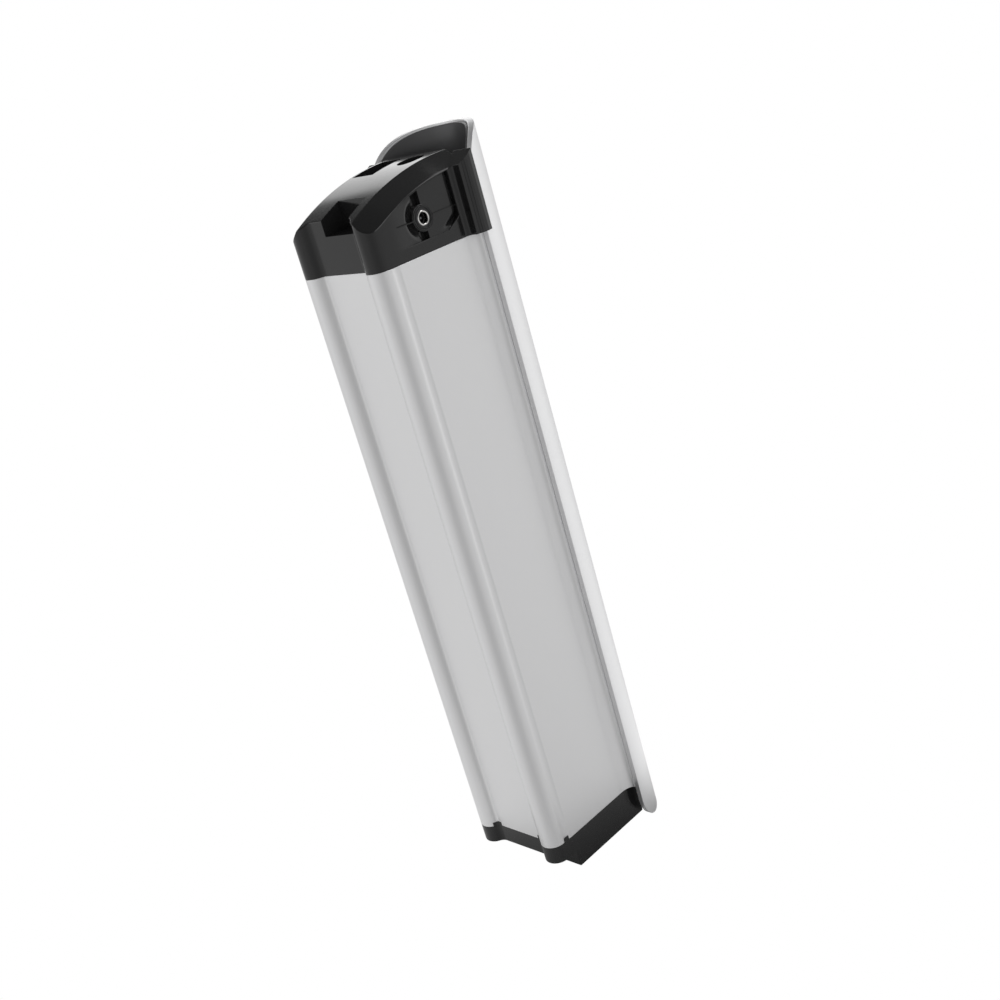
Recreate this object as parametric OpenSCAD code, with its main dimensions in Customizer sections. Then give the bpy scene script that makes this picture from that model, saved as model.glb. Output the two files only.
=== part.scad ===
// Battery pack with an aluminium housing, two black end caps and a curved cover plate.
// Each section is drawn with the middle of the front panel at x = 0, y = 0 and the
// housing's lower end at z = 0; place() then stands the whole pack on its lowest edge.
// The front faces -Y and the charging socket is on the +X side.

/* [Housing] */
// Length of the aluminium housing
housing_len = 400; // [320:1:480]
// Width over the flat sides
body_w = 78.5; // [76:0.5:86]
// Depth from the front panel to the rear wall
body_d = 79; // [78:0.5:84]
// Wall thickness of the housing
wall = 2; // [1.6:0.1:2.4]
// Radius of the two round guide rails on the front
rail_r = 9.15; // [8.5:0.05:9.4]
// Distance from a flat side in to the rail's centre
rail_inset = 9.5; // [9.4:0.05:10]
// Distance from the front panel back to the rail's centre
rail_back = 3.2; // [2.5:0.1:4]
// Where the flat sides begin, behind the front panel
side_start = 8; // [7.5:0.1:9]
// Radius at the front corners of the flat sides
side_corner_r = 2; // [1:0.1:2.5]
// Radius in the corner between a rail and the front panel
rail_fillet_r = 2.7; // [1:0.1:4]
// Radius of the shallow valley between a rail and its flat side
valley_r = 8; // [6:0.5:12]
// Depth of the flanges that carry the cover plate, front to back
flange_t = 5; // [3:0.25:7]

/* [Cover plate] */
// Outer radius of the curved plate
plate_r = 49; // [48:0.5:52]
// Thickness of the plate
plate_t = 4; // [2.5:0.25:4]
// Distance of the plate's axis in front of the housing's rear face
plate_axis_in = 13.8; // [13:0.1:15]
// How far the plate passes the housing's upper end
plate_over = 63; // [60:0.5:70]
// How far the plate passes the housing's lower end
plate_under = 30.5; // [26:0.5:36]
// Radius of the plate's upper corners, seen from the side
plate_top_r = 36; // [28:0.5:40]
// Radius of the plate's lower corners, seen from the side
plate_foot_r = 19; // [12:0.5:24]
// Thickness of the bonding tape between plate and flanges
tape_t = 0.3; // [0.2:0.05:0.6]

/* [Top cap] */
// Height of the roof's crest above the housing
roof_h = 50.7; // [48:0.1:56]
// Radius of the curved roof
roof_r = 168; // [150:1:190]
// Distance from the front panel back to the crest
roof_crest_y = 75; // [70:0.5:78]
// Half the width of the roof between its sloping sides
roof_half_w = 27; // [25:0.5:29]
// How far the sloping side drops from the roof to the flat side
slope_drop = 9.3; // [7:0.1:11]
// Radius in the corners between rails and front wall on the caps
cap_fillet_r = 6; // [4:0.5:8]
// Left edge of the notch in the front of the roof
notch_left = -7.8; // [-10:0.2:-4]
// Right edge of the notch
notch_right = 19.4; // [15:0.2:20]
// Depth of the notch behind the front panel
notch_d = 16.6; // [12:0.2:20]
// Height of the notch's floor above the housing
notch_floor = 23.4; // [21:0.2:26]
// Radius of the round locking hole in the roof
lock_hole_r = 8.5; // [6:0.25:9]
// Locking hole, to the right of the middle
lock_hole_x = 12.4; // [11:0.2:14]
// Locking hole, behind the front panel
lock_hole_y = 62; // [58:0.5:64]
// Depth of the locking hole
lock_hole_depth = 17; // [10:0.5:18]
// Width of the latch slot
slot_w = 20; // [14:0.5:21]
// Length of the latch slot
slot_len = 26; // [18:0.5:27]
// Distance of the latch slot's middle to the left of the centre line
slot_x = 14.5; // [13:0.25:15]
// Front edge of the latch slot, behind the front panel
slot_y = 44.6; // [40:0.2:46]
// Depth of the latch slot
slot_depth = 13; // [8:0.5:14]
// Height of the ears that hold the plate's upper corners
ear_h = 48; // [44:0.5:50]

/* [Charging socket] */
// Socket, behind the front panel
port_y = 37; // [34:0.5:40]
// Socket, above the housing's upper end
port_z = 20; // [18.5:0.5:21]
// Radius of the round boss around the socket
boss_r = 8; // [7.5:0.1:9]
// Radius of the socket's flange
port_flange_r = 6.2; // [5.8:0.1:6.6]
// Radius of the bright ring round the socket's mouth
port_ring_r = 4.4; // [4:0.1:4.8]
// Radius of the socket's mouth
port_bore_r = 3.4; // [3:0.1:3.6]
// Radius of the centre pin
port_pin_r = 1.05; // [0.8:0.05:1.2]

/* [Bottom cap] */
// Depth of the skirt below the housing
skirt_h = 12.7; // [11:0.1:15]
// Depth of the lower block below the housing
block_h = 24.6; // [22:0.1:26]
// Front face of the lower block, behind the front panel
block_front = 12; // [11.5:0.25:14]
// Height of the small keys that rise beside the rails
key_h = 3; // [1.5:0.25:5]
// Width of the discharge socket's opening
outlet_w = 40; // [34:0.5:46]
// Depth, front to back, of the opening
outlet_d = 18; // [14:0.5:20]

/* [Cells] */
// Radius of a cell
cell_r = 9.1; // [9:0.05:9.2]
// Length of a cell
cell_len = 65; // [64:0.5:66]
// Distance between neighbouring cells
cell_pitch = 19; // [18.9:0.05:19.1]
// Depth of a cell holder over the cells' ends
holder_t = 7; // [5:0.5:9]

/* [Hidden] */

eps = 0.01;            // lets a cut run past a face
big = 400;             // longer than any width that it cuts
$fn = 64;
fit_gap = 0.3;         // running gap between neighbouring bodies
gasket_t = 1;
gasket_in = 1.1;       // gasket edge, in from the outline

half_w = body_w / 2;
rail_x = half_w - rail_inset;
rail_front = rail_back - rail_r;             // foremost line of the rails
plate_axis_y = body_d - plate_axis_in;
plate_back = plate_axis_y + plate_r;
mid_y = (rail_front + plate_back) / 2;       // middle of the whole depth
lift = plate_under;                          // stands the plate's end on z = 0
plate_in_r = plate_r - plate_t;
flange_r = plate_in_r - tape_t;              // outer face of the housing's flanges
flange_y = body_d - flange_t;                // front face of the flanges
flange_fillet_r = 1;
plate_edge_y = flange_y + 0.5;               // front edges of the plate

// inside of the housing
in_x = half_w - wall;
in_front = side_start + wall;
in_back = body_d - wall;
wire_bay_x = rail_x - rail_r - wall + 0.4;   // half width of the bay behind the panel
screw_core_r = 1.7;                          // bore of the screw channels
screw_wall_r = 3.4;                          // outside of the screw channels
rear_screw_x = in_x - 3.05;
rear_screw_y = in_back - screw_wall_r;

module place() {
    translate([0, -mid_y, lift]) children();
}

module both_sides() {
    for (side = [-1, 1])
        mirror([side < 0 ? 1 : 0, 0, 0]) children();
}

module box(x0, x1, y0, y1, z0, z1) {
    translate([x0, y0, z0]) cube([x1 - x0, y1 - y0, z1 - z0]);
}

module rect(x0, x1, y0, y1) {
    translate([x0, y0]) square([x1 - x0, y1 - y0]);
}

// Centre of the fillet between a round rail and the front panel.
function corner_x(fillet_r) =
    rail_x - sqrt(pow(rail_r + fillet_r, 2) - pow(rail_back + fillet_r, 2));

// Centre of the hollow that joins a rail to the round corner of its flat side.
rail_at = [rail_x, rail_back];
corner_at = [half_w - side_corner_r, side_start + side_corner_r];
valley_span = norm(corner_at - rail_at);
valley_dir = (corner_at - rail_at) / valley_span;
valley_along = (pow(rail_r + valley_r, 2) - pow(side_corner_r + valley_r, 2)
    + pow(valley_span, 2)) / (2 * valley_span);
valley_off = sqrt(pow(rail_r + valley_r, 2) - pow(valley_along, 2));
valley_fill_x = half_w - 0.1;
valley_at = rail_at + valley_along * valley_dir + valley_off * [valley_dir[1], -valley_dir[0]];

// Corner between a rail and the front panel, before the fillet is cut.
module rail_corner(fillet_r) {
    polygon([[rail_x, rail_back], [corner_x(fillet_r), -fillet_r], [corner_x(fillet_r), 1],
        [rail_x, rail_back + 1]]);
}

// The fillet's cut, a hair large so that it crosses the rail and the panel cleanly.
module rail_fillet(fillet_r) {
    translate([corner_x(fillet_r), -fillet_r]) circle(r = fillet_r + 0.02);
}

module valley_cut() {
    translate(valley_at) circle(r = valley_r + 0.02, $fn = 96);
}

// Body of the housing or a cap, without the flanges, from z = 0 up. On the caps the valleys
// are filled.
module body_prism(h, fillet_r, filled = false) {
    difference() {
        union() {
            linear_extrude(h) {
                rect(-rail_x, rail_x, 0, side_start + 4);
                rect(-half_w, half_w, side_start + side_corner_r, body_d);
                rect(-half_w + side_corner_r, half_w - side_corner_r, side_start, body_d);
                both_sides() {
                    translate([rail_x, rail_back]) circle(r = rail_r);
                    translate([half_w - side_corner_r, side_start + side_corner_r])
                        circle(r = side_corner_r);
                }
            }
            linear_extrude(h) both_sides() rail_corner(fillet_r);
            linear_extrude(h) both_sides() polygon([rail_at, valley_at, corner_at]);
            if (filled)
                linear_extrude(h) both_sides()
                    rect(rail_x, valley_fill_x, rail_back, corner_at[1]);
        }
        translate([0, 0, -1]) linear_extrude(h + 2) both_sides() {
            rail_fillet(fillet_r);
            difference() {
                valley_cut();
                if (filled)
                    rect(0, valley_fill_x, rail_back, corner_at[1]);
            }
        }
    }
}

// Flat body inside the outline by gasket_in all round, without fillets.
module gasket_blank(h) {
    linear_extrude(h) rect(-rail_x - 2, rail_x + 2, gasket_in, side_start + 4);
    linear_extrude(h) rect(-half_w + gasket_in, half_w - gasket_in, side_start + 1.5,
        body_d - gasket_in);
    both_sides() translate(rail_at) cylinder(r = rail_r - gasket_in, h = h);
}

// Flange that stands out from a flat side and carries the plate.
module flange(h) {
    linear_extrude(h) intersection() {
        translate([0, plate_axis_y]) circle(r = flange_r, $fn = 180);
        rect(half_w - 3, plate_r, flange_y, body_d);
    }
    // rounded inner corner
    difference() {
        linear_extrude(h) rect(half_w - 0.5, half_w + flange_fillet_r,
            flange_y - flange_fillet_r, flange_y + 0.5);
        translate([half_w + flange_fillet_r, flange_y - flange_fillet_r, -1])
            cylinder(r = flange_fillet_r + 0.02, h = h + 2);
    }
}

module screw_cores() {
    both_sides() {
        translate([rail_x, rail_back]) circle(r = screw_core_r);
        translate([rear_screw_x, rear_screw_y]) circle(r = screw_core_r);
    }
}

// Main bay of the housing, less the rear screw channels in its corners.
module bay_outline() {
    difference() {
        union() {
            rect(-in_x, in_x, in_front, in_back);
            rect(-wire_bay_x, wire_bay_x, wall, in_front + 1);
        }
        both_sides() {
            translate([rear_screw_x, rear_screw_y]) circle(r = screw_wall_r);
            rect(rear_screw_x, half_w, rear_screw_y, body_d);
        }
    }
}

// Hollow core of a rail, round its screw channel and three ribs.
module rail_core() {
    translate([rail_x, rail_back]) difference() {
        circle(r = rail_r - wall);
        circle(r = screw_wall_r);
        for (turn = [90, 210, 330])
            rotate(turn) rect(0, rail_r, -wall / 2, wall / 2);
    }
}

module housing() {
    color("silver") place() difference() {
        union() {
            body_prism(housing_len, rail_fillet_r);
            both_sides() flange(housing_len);
        }
        translate([0, 0, -1]) linear_extrude(housing_len + 2) {
            bay_outline();
            both_sides() intersection() {
                rail_core();
                rect(0, half_w, -rail_r, in_front - wall);
            }
            screw_cores();
        }
        // holes for the screws that hold the top cap
        for (x = top_screw_x)
            translate([x, body_d + 1, housing_len + top_screw_z]) rotate([90, 0, 0])
                cylinder(r = 1.6, h = wall + 2);
    }
}

// A side view, drawn in y and z, pushed sideways from x0 to x1.
module side_prism(x0, x1) {
    translate([x0, 0, 0]) rotate([90, 0, 90]) linear_extrude(x1 - x0) children();
}

// Side view of the plate: its front edges turn to the rear in round corners at both ends.
module plate_side(drop = 0) {
    top_z = housing_len + plate_over - drop;
    foot_z = -plate_under;
    rect(plate_edge_y, big, foot_z + plate_foot_r, top_z - plate_top_r);
    rect(plate_edge_y + plate_top_r, big, housing_len, top_z);
    rect(plate_edge_y + plate_foot_r, big, foot_z, housing_len);
    translate([plate_edge_y + plate_top_r, top_z - plate_top_r])
        circle(r = plate_top_r, $fn = 128);
    translate([plate_edge_y + plate_foot_r, foot_z + plate_foot_r])
        circle(r = plate_foot_r, $fn = 96);
}

// Ring sector behind the line y = from_y, between two radii about the plate's axis.
module plate_sector(outer_r, inner_r, from_y) {
    intersection() {
        translate([0, plate_axis_y]) difference() {
            circle(r = outer_r, $fn = 180);
            circle(r = inner_r, $fn = 180);
        }
        rect(-big, big, from_y, big);
    }
}

ear_back = body_d + 0.3;      // rear face of the ears

module cover_plate() {
    color("gainsboro") place() difference() {
        intersection() {
            translate([0, 0, -plate_under])
                linear_extrude(plate_under + housing_len + plate_over)
                    plate_sector(plate_r, plate_in_r, plate_edge_y);
            side_prism(-plate_r - 1, plate_r + 1) plate_side();
        }
        // room for the ears of the top cap
        box(-big, big, 0, ear_back + fit_gap, housing_len - fit_gap, big * 2);
    }
}

// Tape between the flanges and the plate's inner face.
module plate_tape() {
    color("dimgray") place() translate([0, 0, 4])
        linear_extrude(housing_len - 8)
            difference() {
                plate_sector(plate_in_r - 0.05, flange_r + 0.05, flange_y + 1.5);
                rect(-big, big, body_d, big);
            }
}

// --- top cap ---

slope_run = half_w - roof_half_w;
ear_x = half_w + 9.5;
ear_front = flange_y - 6.4;                  // front face of the ears
ear_slope = 30;                              // fall of the ears' tops towards the front
port_face_x = half_w - 0.5;
pocket_x = half_w - 4.6;                     // deepest floor of the side pocket
pocket_z = 7.6;                              // lower edge of the side pocket
pocket_back = ear_front + 0.1;               // rear wall of the side pocket
step_y = port_y + 1;                         // where the floor steps back out

// Space under the roof: a drum about a cross axis, its ends tapered into the sloping sides.
module roof_cut() {
    out_x = half_w + 12;
    out_r = roof_r - slope_drop * (out_x - roof_half_w) / slope_run;
    translate([0, roof_crest_y, roof_h - roof_r]) rotate([0, 90, 0]) rotate_extrude($fn = 360)
        polygon([[0, -out_x], [out_r, -out_x], [roof_r, -roof_half_w], [roof_r, roof_half_w],
            [out_r, out_x], [0, out_x]]);
}

// Ear: covers the end of a flange and holds the plate's upper corner.
module ear() {
    intersection() {
        linear_extrude(ear_h + 4)
            polygon([[roof_half_w + 0.5, ear_back], [half_w - 0.5, ear_front + 1],
                [half_w, ear_front + 0.9], [ear_x - 2.3, ear_front],
                [ear_x - 1.9, ear_front + 2.3], [ear_x - 1.5, ear_front + 2.3],
                [ear_x - 0.8, ear_front + 3.8], [ear_x - 0.4, ear_front + 3.8],
                [ear_x, ear_front + 5.7], [ear_x, ear_front + 8.3], [ear_x - 0.8, ear_back]]);
        translate([0, ear_back, ear_h + 1]) rotate([ear_slope, 0, 0])
            box(0, big, -big, big, -big, 0);
        box(0, big, 0, ear_back, 0, ear_h + 2);
    }
}

// Side view of the pocket, under the slope's lower edge.
module pocket_face(inset = 0) {
    intersection() {
        polygon([[6, pocket_z + inset], [53.5 - inset / 2, pocket_z + inset],
            [pocket_back - 2 - inset, 14.3 + inset / 2], [pocket_back - inset, 17.5 + inset / 2],
            [pocket_back - inset, big], [6, big]]);
        // just under the lower edge of the sloping side
        translate([roof_crest_y, roof_h - roof_r])
            circle(r = roof_r - slope_drop - 0.25 - inset / 4, $fn = 360);
    }
}

// Block behind the socket, its edges rounded down into the pocket.
module pocket_block() {
    module layer(x1, inset) {
        side_prism(pocket_x - 1, x1) intersection() {
            pocket_face(inset);
            rect(step_y, big, 0, big);
        }
    }
    hull() {
        layer(pocket_x + 0.4, 0.8);
        layer(pocket_x + 2.6, 2.4);
        layer(port_face_x - 0.3, 6);
    }
}

module side_pocket() {
    difference() {
        union() {
            // floor that ramps in from the rail to the socket
            intersection() {
                side_prism(pocket_x - 1, half_w + 1) pocket_face();
                linear_extrude(big) polygon([[half_w + 0.02, 8], [half_w - 3.4, step_y],
                    [half_w + 1, step_y], [half_w + 1, 8]]);
            }
            // dish round the front half of the boss
            intersection() {
                side_prism(pocket_x - 1, half_w + 1) pocket_face();
                translate([pocket_x, port_y, port_z]) rotate([0, 90, 0])
                    cylinder(r1 = boss_r + 2, r2 = boss_r + 5.5, h = 5);
                box(0, big, 0, step_y, 0, big);
            }
            side_prism(pocket_x, half_w + 1) intersection() {
                pocket_face();
                rect(step_y, big, 0, big);
            }
        }
        pocket_block();
        // round boss that holds the socket
        translate([pocket_x - 1, port_y, port_z]) rotate([0, 90, 0])
            cylinder(r = boss_r, h = port_face_x - pocket_x + 1);
        // thin ribs before and behind the boss
        side_prism(pocket_x - 1, half_w - 1.1) rect(8, pocket_back + 1, port_z - 0.4, port_z + 0.4);
    }
}

module latch_slot() {
    difference() {
        box(-slot_x - slot_w / 2, -slot_x + slot_w / 2, slot_y, slot_y + slot_len,
            roof_h - slot_depth, big);
        // finger that reaches in from the slot's front edge
        box(-slot_x - slot_w / 2 + 3.5, -slot_x - slot_w / 2 + 8.5, slot_y - 1, slot_y + 6.5,
            roof_h - 4.5, big);
    }
}

lining_t = 1.5;
lining_drop = 1.2;            // plate's rim above the lining
floor_t = 3;                  // floor behind the rear wall

// Closes the space between the housing's rear wall and the plate, open at the top.
module rear_lining() {
    intersection() {
        union() {
            linear_extrude(plate_over) plate_sector(plate_in_r - fit_gap,
                plate_in_r - fit_gap - lining_t, body_d - 0.5);
            linear_extrude(floor_t) intersection() {
                translate([0, plate_axis_y]) circle(r = plate_in_r - fit_gap - 0.5, $fn = 180);
                rect(-big, big, body_d - 0.5, big);
            }
        }
        translate([0, 0, -housing_len]) side_prism(-plate_r, plate_r) plate_side(lining_drop);
    }
}

spigot_h = 8;                 // depth of the caps' spigots in the housing
spigot_x = in_x - fit_gap;
spigot_front = in_front + fit_gap;
spigot_back = in_back - fit_gap;
corner_room = 2 * screw_wall_r + 0.6;
lead_way = 12;                // half width of the gap in a spigot's front wall

// Outside of a spigot, left out at the screw channels and on the way of the leads.
module spigot_outline() {
    difference() {
        rect(-spigot_x, spigot_x, spigot_front, spigot_back);
        both_sides() rect(half_w - wall - corner_room, half_w, spigot_back - corner_room, big);
        rect(-lead_way, lead_way, 0, spigot_front + wall + 1);
    }
}

// Wall that reaches into the housing.
module spigot() {
    difference() {
        spigot_outline();
        rect(-spigot_x + wall, spigot_x - wall, spigot_front + wall, spigot_back - wall);
    }
}

// Room inside a cap: follows the main bay, kept clear of its corners.
module cap_room(x, y0, y1, h) {
    box(-x, x, y0, y1, -eps, h);
}

top_screw_x = [-22, 0, 22];
top_screw_z = -5;             // below the housing's upper end

module at_top() {
    place() translate([0, 0, housing_len]) children();
}

module top_cap() {
    color([0.08, 0.08, 0.085]) at_top() difference() {
        union() {
            intersection() {
                body_prism(roof_h + 1, cap_fillet_r, true);
                roof_cut();
            }
            both_sides() ear();
            rear_lining();
            translate([0, 0, -spigot_h]) linear_extrude(spigot_h + 2) spigot();
            // bosses that the rear screws go into
            for (x = top_screw_x)
                box(x - 4, x + 4, spigot_back - 6, spigot_back, -spigot_h, 2);
        }
        translate([0, 0, -eps]) gasket_seat();
        // room for the wiring and the socket's rear end
        cap_room(in_x - 5, notch_d + 3, in_back - 4, roof_h - 20);
        cap_room(wire_bay_x - 3, wall + 2, notch_d + 4, notch_floor - 3);
        box(notch_left, notch_right, -big, notch_d, notch_floor, big);
        translate([lock_hole_x, lock_hole_y, roof_h - lock_hole_depth])
            cylinder(r = lock_hole_r, h = big);
        latch_slot();
        side_pocket();
        translate([in_x - 8, port_y, port_z]) rotate([0, 90, 0])
            cylinder(r = port_barrel_r + 0.1, h = 20);
        translate([port_face_x - port_flange_t, port_y, port_z]) rotate([0, 90, 0])
            cylinder(r = port_flange_r + 0.15, h = 5);
        for (x = top_screw_x)
            translate([x, spigot_back + eps, top_screw_z]) rotate([90, 0, 0])
                cylinder(r = screw_core_r - 0.3, h = 8);
    }
}

module top_gasket() {
    color("black") at_top() gasket();
}

// Gasket: follows the housing's end face, with holes for the screws.
module gasket() {
    difference() {
        gasket_blank(gasket_t);
        translate([0, 0, -1]) linear_extrude(gasket_t + 2) bay_outline();
        both_sides() {
            translate([rail_x, rail_back, -1]) cylinder(r = 2.3, h = gasket_t + 2);
            translate([rear_screw_x, rear_screw_y, -1]) cylinder(r = 2.3, h = gasket_t + 2);
        }
    }
}

// Recess that seats a gasket in the face of a cap, from z = 0 up.
module gasket_seat() {
    difference() {
        gasket_blank(gasket_t + eps);
        translate([0, 0, -1]) linear_extrude(gasket_t + 2) spigot_outline();
    }
}

module pan_screw(length, shank_r = 1.35, head_r = 3.2) {
    difference() {
        union() {
            cylinder(r = shank_r, h = length);
            translate([0, 0, length]) cylinder(r = head_r, h = 1.4);
            translate([0, 0, length + 1.4]) cylinder(r1 = head_r, r2 = head_r - 0.9, h = 0.8);
        }
        translate([0, 0, length + 1]) cylinder(r = 1.3, h = 2, $fn = 6);
    }
}

module top_cap_screws() {
    color("lightgray") at_top() for (x = top_screw_x)
        translate([x, body_d - 9, top_screw_z]) rotate([-90, 0, 0]) pan_screw(9);
}

// --- charging socket ---

port_flange_t = 2;
port_barrel_r = 5.2;
port_back_x = in_x - 14;      // rear end of the socket's barrel
wall_in_x = in_x - 5;         // inner face of the cap's wall behind the socket

module at_port() {
    at_top() translate([0, port_y, port_z]) rotate([0, 90, 0]) children();
}

module charge_port_body() {
    color([0.05, 0.05, 0.05]) at_port() difference() {
        union() {
            translate([0, 0, port_face_x - port_flange_t])
                cylinder(r = port_flange_r, h = port_flange_t);
            translate([0, 0, port_back_x]) cylinder(r = port_barrel_r, h = port_face_x - port_back_x);
            translate([-2, -3.2, port_back_x - 4]) cube([4, 6.4, 4]);
        }
        // seat of the bright ring, then the mouth
        translate([0, 0, port_face_x - 3]) cylinder(r = port_ring_r, h = 4);
        translate([0, 0, port_face_x - 11]) cylinder(r = port_bore_r - 0.2, h = 12);
        // fine groove round the flange
        translate([0, 0, port_face_x - 0.4]) difference() {
            cylinder(r = port_flange_r - 0.4, h = 1);
            cylinder(r = port_flange_r - 0.8, h = 1);
        }
    }
}

module charge_port_ring() {
    color("white") at_port() translate([0, 0, port_face_x - 3]) rotate_extrude() polygon([
        [port_bore_r, 0], [port_ring_r, 0], [port_ring_r, 3.2], [port_ring_r - 0.3, 3.5],
        [port_bore_r + 0.3, 3.5], [port_bore_r, 3.2]]);
}

module charge_port_pin() {
    color("gold") at_port() translate([0, 0, port_face_x - 11]) {
        cylinder(r = port_pin_r, h = 8);
        translate([0, 0, 8]) cylinder(r1 = port_pin_r, r2 = port_pin_r - 0.5, h = 0.9);
    }
}

module charge_port_nut() {
    color("lightgray") at_port() translate([0, 0, wall_in_x - 3]) difference() {
        cylinder(r = 8, h = 3, $fn = 6);
        translate([0, 0, -1]) cylinder(r = port_barrel_r + 0.05, h = 5);
    }
}

// --- bottom cap ---

bottom_wall = 3;
block_back = body_d + 1.6;    // the block reaches in under the rear hollow
outlet_y = (block_front + body_d - 0.5) / 2;
bottom_head_z = -8;           // seat of the rear screws' heads

module block_outline(inset = 0) {
    r = 1.5;
    rect(-half_w + inset, half_w - inset, block_front + inset, block_back - r);
    rect(-half_w + r, half_w - r, block_front + inset, block_back - inset);
    both_sides() translate([half_w - r, block_back - r]) circle(r = r - min(inset, 1.3));
}

module bottom_cap() {
    color([0.1, 0.1, 0.105]) place() difference() {
        union() {
            intersection() {
                translate([0, 0, -skirt_h]) body_prism(skirt_h, cap_fillet_r, true);
                box(-big, big, -big, block_back, -big, big);
            }
            translate([0, 0, -block_h]) linear_extrude(block_h) block_outline();
            translate([0, 0, -1]) linear_extrude(spigot_h + 1) spigot();
            // keys in the corners beside the rails
            translate([0, 0, -1]) linear_extrude(key_h + 1) both_sides() difference() {
                rail_corner(cap_fillet_r);
                rail_fillet(cap_fillet_r);
                rail_corner(rail_fillet_r - 0.1);
                translate(rail_at) circle(r = rail_r + 0.1);
                rect(-big, big, -0.1, big);
            }
            // thin keys in the valleys beside the flat sides
            translate([0, 0, -1]) linear_extrude(key_h + 1) both_sides() intersection() {
                translate(valley_at) circle(r = valley_r - 0.1, $fn = 96);
                rect(rail_x, valley_fill_x, rail_back + 1, corner_at[1] - 1);
            }
        }
        // hollow over the discharge socket
        box(-in_x + 9, in_x - 9, block_front + 3, in_back - 1.5, -block_h + bottom_wall, big);
        box(-in_x + 1, in_x - 1, block_front + 3, rear_screw_y - screw_wall_r - 3,
            -block_h + bottom_wall, big);
        translate([0, 0, -gasket_t]) gasket_seat();
        box(-outlet_w / 2, outlet_w / 2, outlet_y - outlet_d / 2, outlet_y + outlet_d / 2,
            -big, 0);
        both_sides() {
            translate([rail_x, rail_back, -big]) cylinder(r = 2, h = 2 * big);
            translate([rail_x, rail_back, -skirt_h - 1]) cylinder(r = 3.6, h = 4);
            translate([rear_screw_x, rear_screw_y, -big]) cylinder(r = 2, h = 2 * big);
            translate([rear_screw_x, rear_screw_y, -big]) cylinder(r = 3.6, h = big + bottom_head_z);
        }
    }
}

module bottom_gasket() {
    color("black") place() translate([0, 0, -gasket_t]) gasket();
}

module bottom_cap_screws() {
    color("lightgray") place() both_sides() {
        translate([rail_x, rail_back, 12]) rotate([180, 0, 0]) pan_screw(12 + skirt_h - 3, 1.6);
        translate([rear_screw_x, rear_screw_y, 12]) rotate([180, 0, 0])
            pan_screw(12 - bottom_head_z, 1.6);
    }
}

// --- discharge socket in the bottom cap ---

contact_x = [-14, -5, 5, 14];
contact_w = [2, 1.2, 1.2, 2];
socket_floor = -block_h + bottom_wall;
socket_top = -block_h + 14;
socket_wall = 2;

// A block set in by inset from the edges of the opening in the bottom cap.
module outlet_box(inset, z0, z1) {
    box(-outlet_w / 2 + inset, outlet_w / 2 - inset, outlet_y - outlet_d / 2 + inset,
        outlet_y + outlet_d / 2 - inset, z0, z1);
}

module discharge_socket() {
    color([0.12, 0.12, 0.12]) place() difference() {
        union() {
            outlet_box(-3, socket_floor, socket_floor + 2.5);
            outlet_box(fit_gap, -block_h + 0.5, socket_top);
        }
        outlet_box(fit_gap + socket_wall, -big, socket_top - 3);
        for (i = [0:3])
            box(contact_x[i] - contact_w[i] / 2, contact_x[i] + contact_w[i] / 2,
                outlet_y - 4, outlet_y + 4, -big, big);
    }
}

module discharge_contacts() {
    color("goldenrod") place() for (i = [0:3])
        box(contact_x[i] - contact_w[i] / 2, contact_x[i] + contact_w[i] / 2,
            outlet_y - 4, outlet_y + 4, -block_h + 3, socket_top + 5);
}

// --- cells, their holders and strips ---

cell_low_z = 31.5;            // axis of the lowest row
group = 4;                    // cells side by side in one parallel group
board_room = 35;              // from the holders' tops to the housing's upper end
holder_edge = cell_r + 0.9;   // from a cell's axis to the holder's edge
holder_front = in_front + 2;
holder_low = cell_low_z - holder_edge;
// columns and rows that the bay has room for
cell_cols = floor((rear_screw_y - screw_wall_r - holder_front) / cell_pitch);
cell_rows = floor((housing_len - board_room - holder_low - 1) / cell_pitch);
cell_count = group * floor(cell_cols * cell_rows / group);
cell_front_y = holder_front + holder_edge;
cell_end = cell_len / 2;
holder_out = cell_end + 1.5;
holder_top = cell_low_z + (cell_rows - 1) * cell_pitch + holder_edge;
holder_back = cell_front_y + (cell_cols - 1) * cell_pitch + holder_edge;

// Place of cell n, on a path that turns back at each row's end.
function cell_row(n) = floor(n / cell_cols);
function cell_col(n) = cell_row(n) % 2 == 0 ? n % cell_cols : cell_cols - 1 - n % cell_cols;
function cell_at(n) =
    [cell_front_y + cell_col(n) * cell_pitch, cell_low_z + cell_row(n) * cell_pitch];

module cells() {
    color("seagreen") place() for (n = [0:cell_count - 1])
        translate([-cell_end, cell_at(n)[0], cell_at(n)[1]]) rotate([0, 90, 0]) {
            cylinder(r = cell_r, h = cell_len - 1.2, $fn = 48);
            cylinder(r = 3.2, h = cell_len, $fn = 32);
        }
}

module holder() {
    difference() {
        box(holder_out - holder_t, holder_out, holder_front, holder_back, holder_low, holder_top);
        for (n = [0:cell_count - 1])
            translate([0, cell_at(n)[0], cell_at(n)[1]]) rotate([0, 90, 0]) {
                cylinder(r = cell_r + 0.1, h = cell_end + 0.1, $fn = 48);
                cylinder(r = 6.6, h = big, $fn = 32);
            }
    }
}

module right_holder() {
    color("black") place() holder();
}

module left_holder() {
    color("black") place() mirror([1, 0, 0]) holder();
}

strip_t = 0.3;

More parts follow.
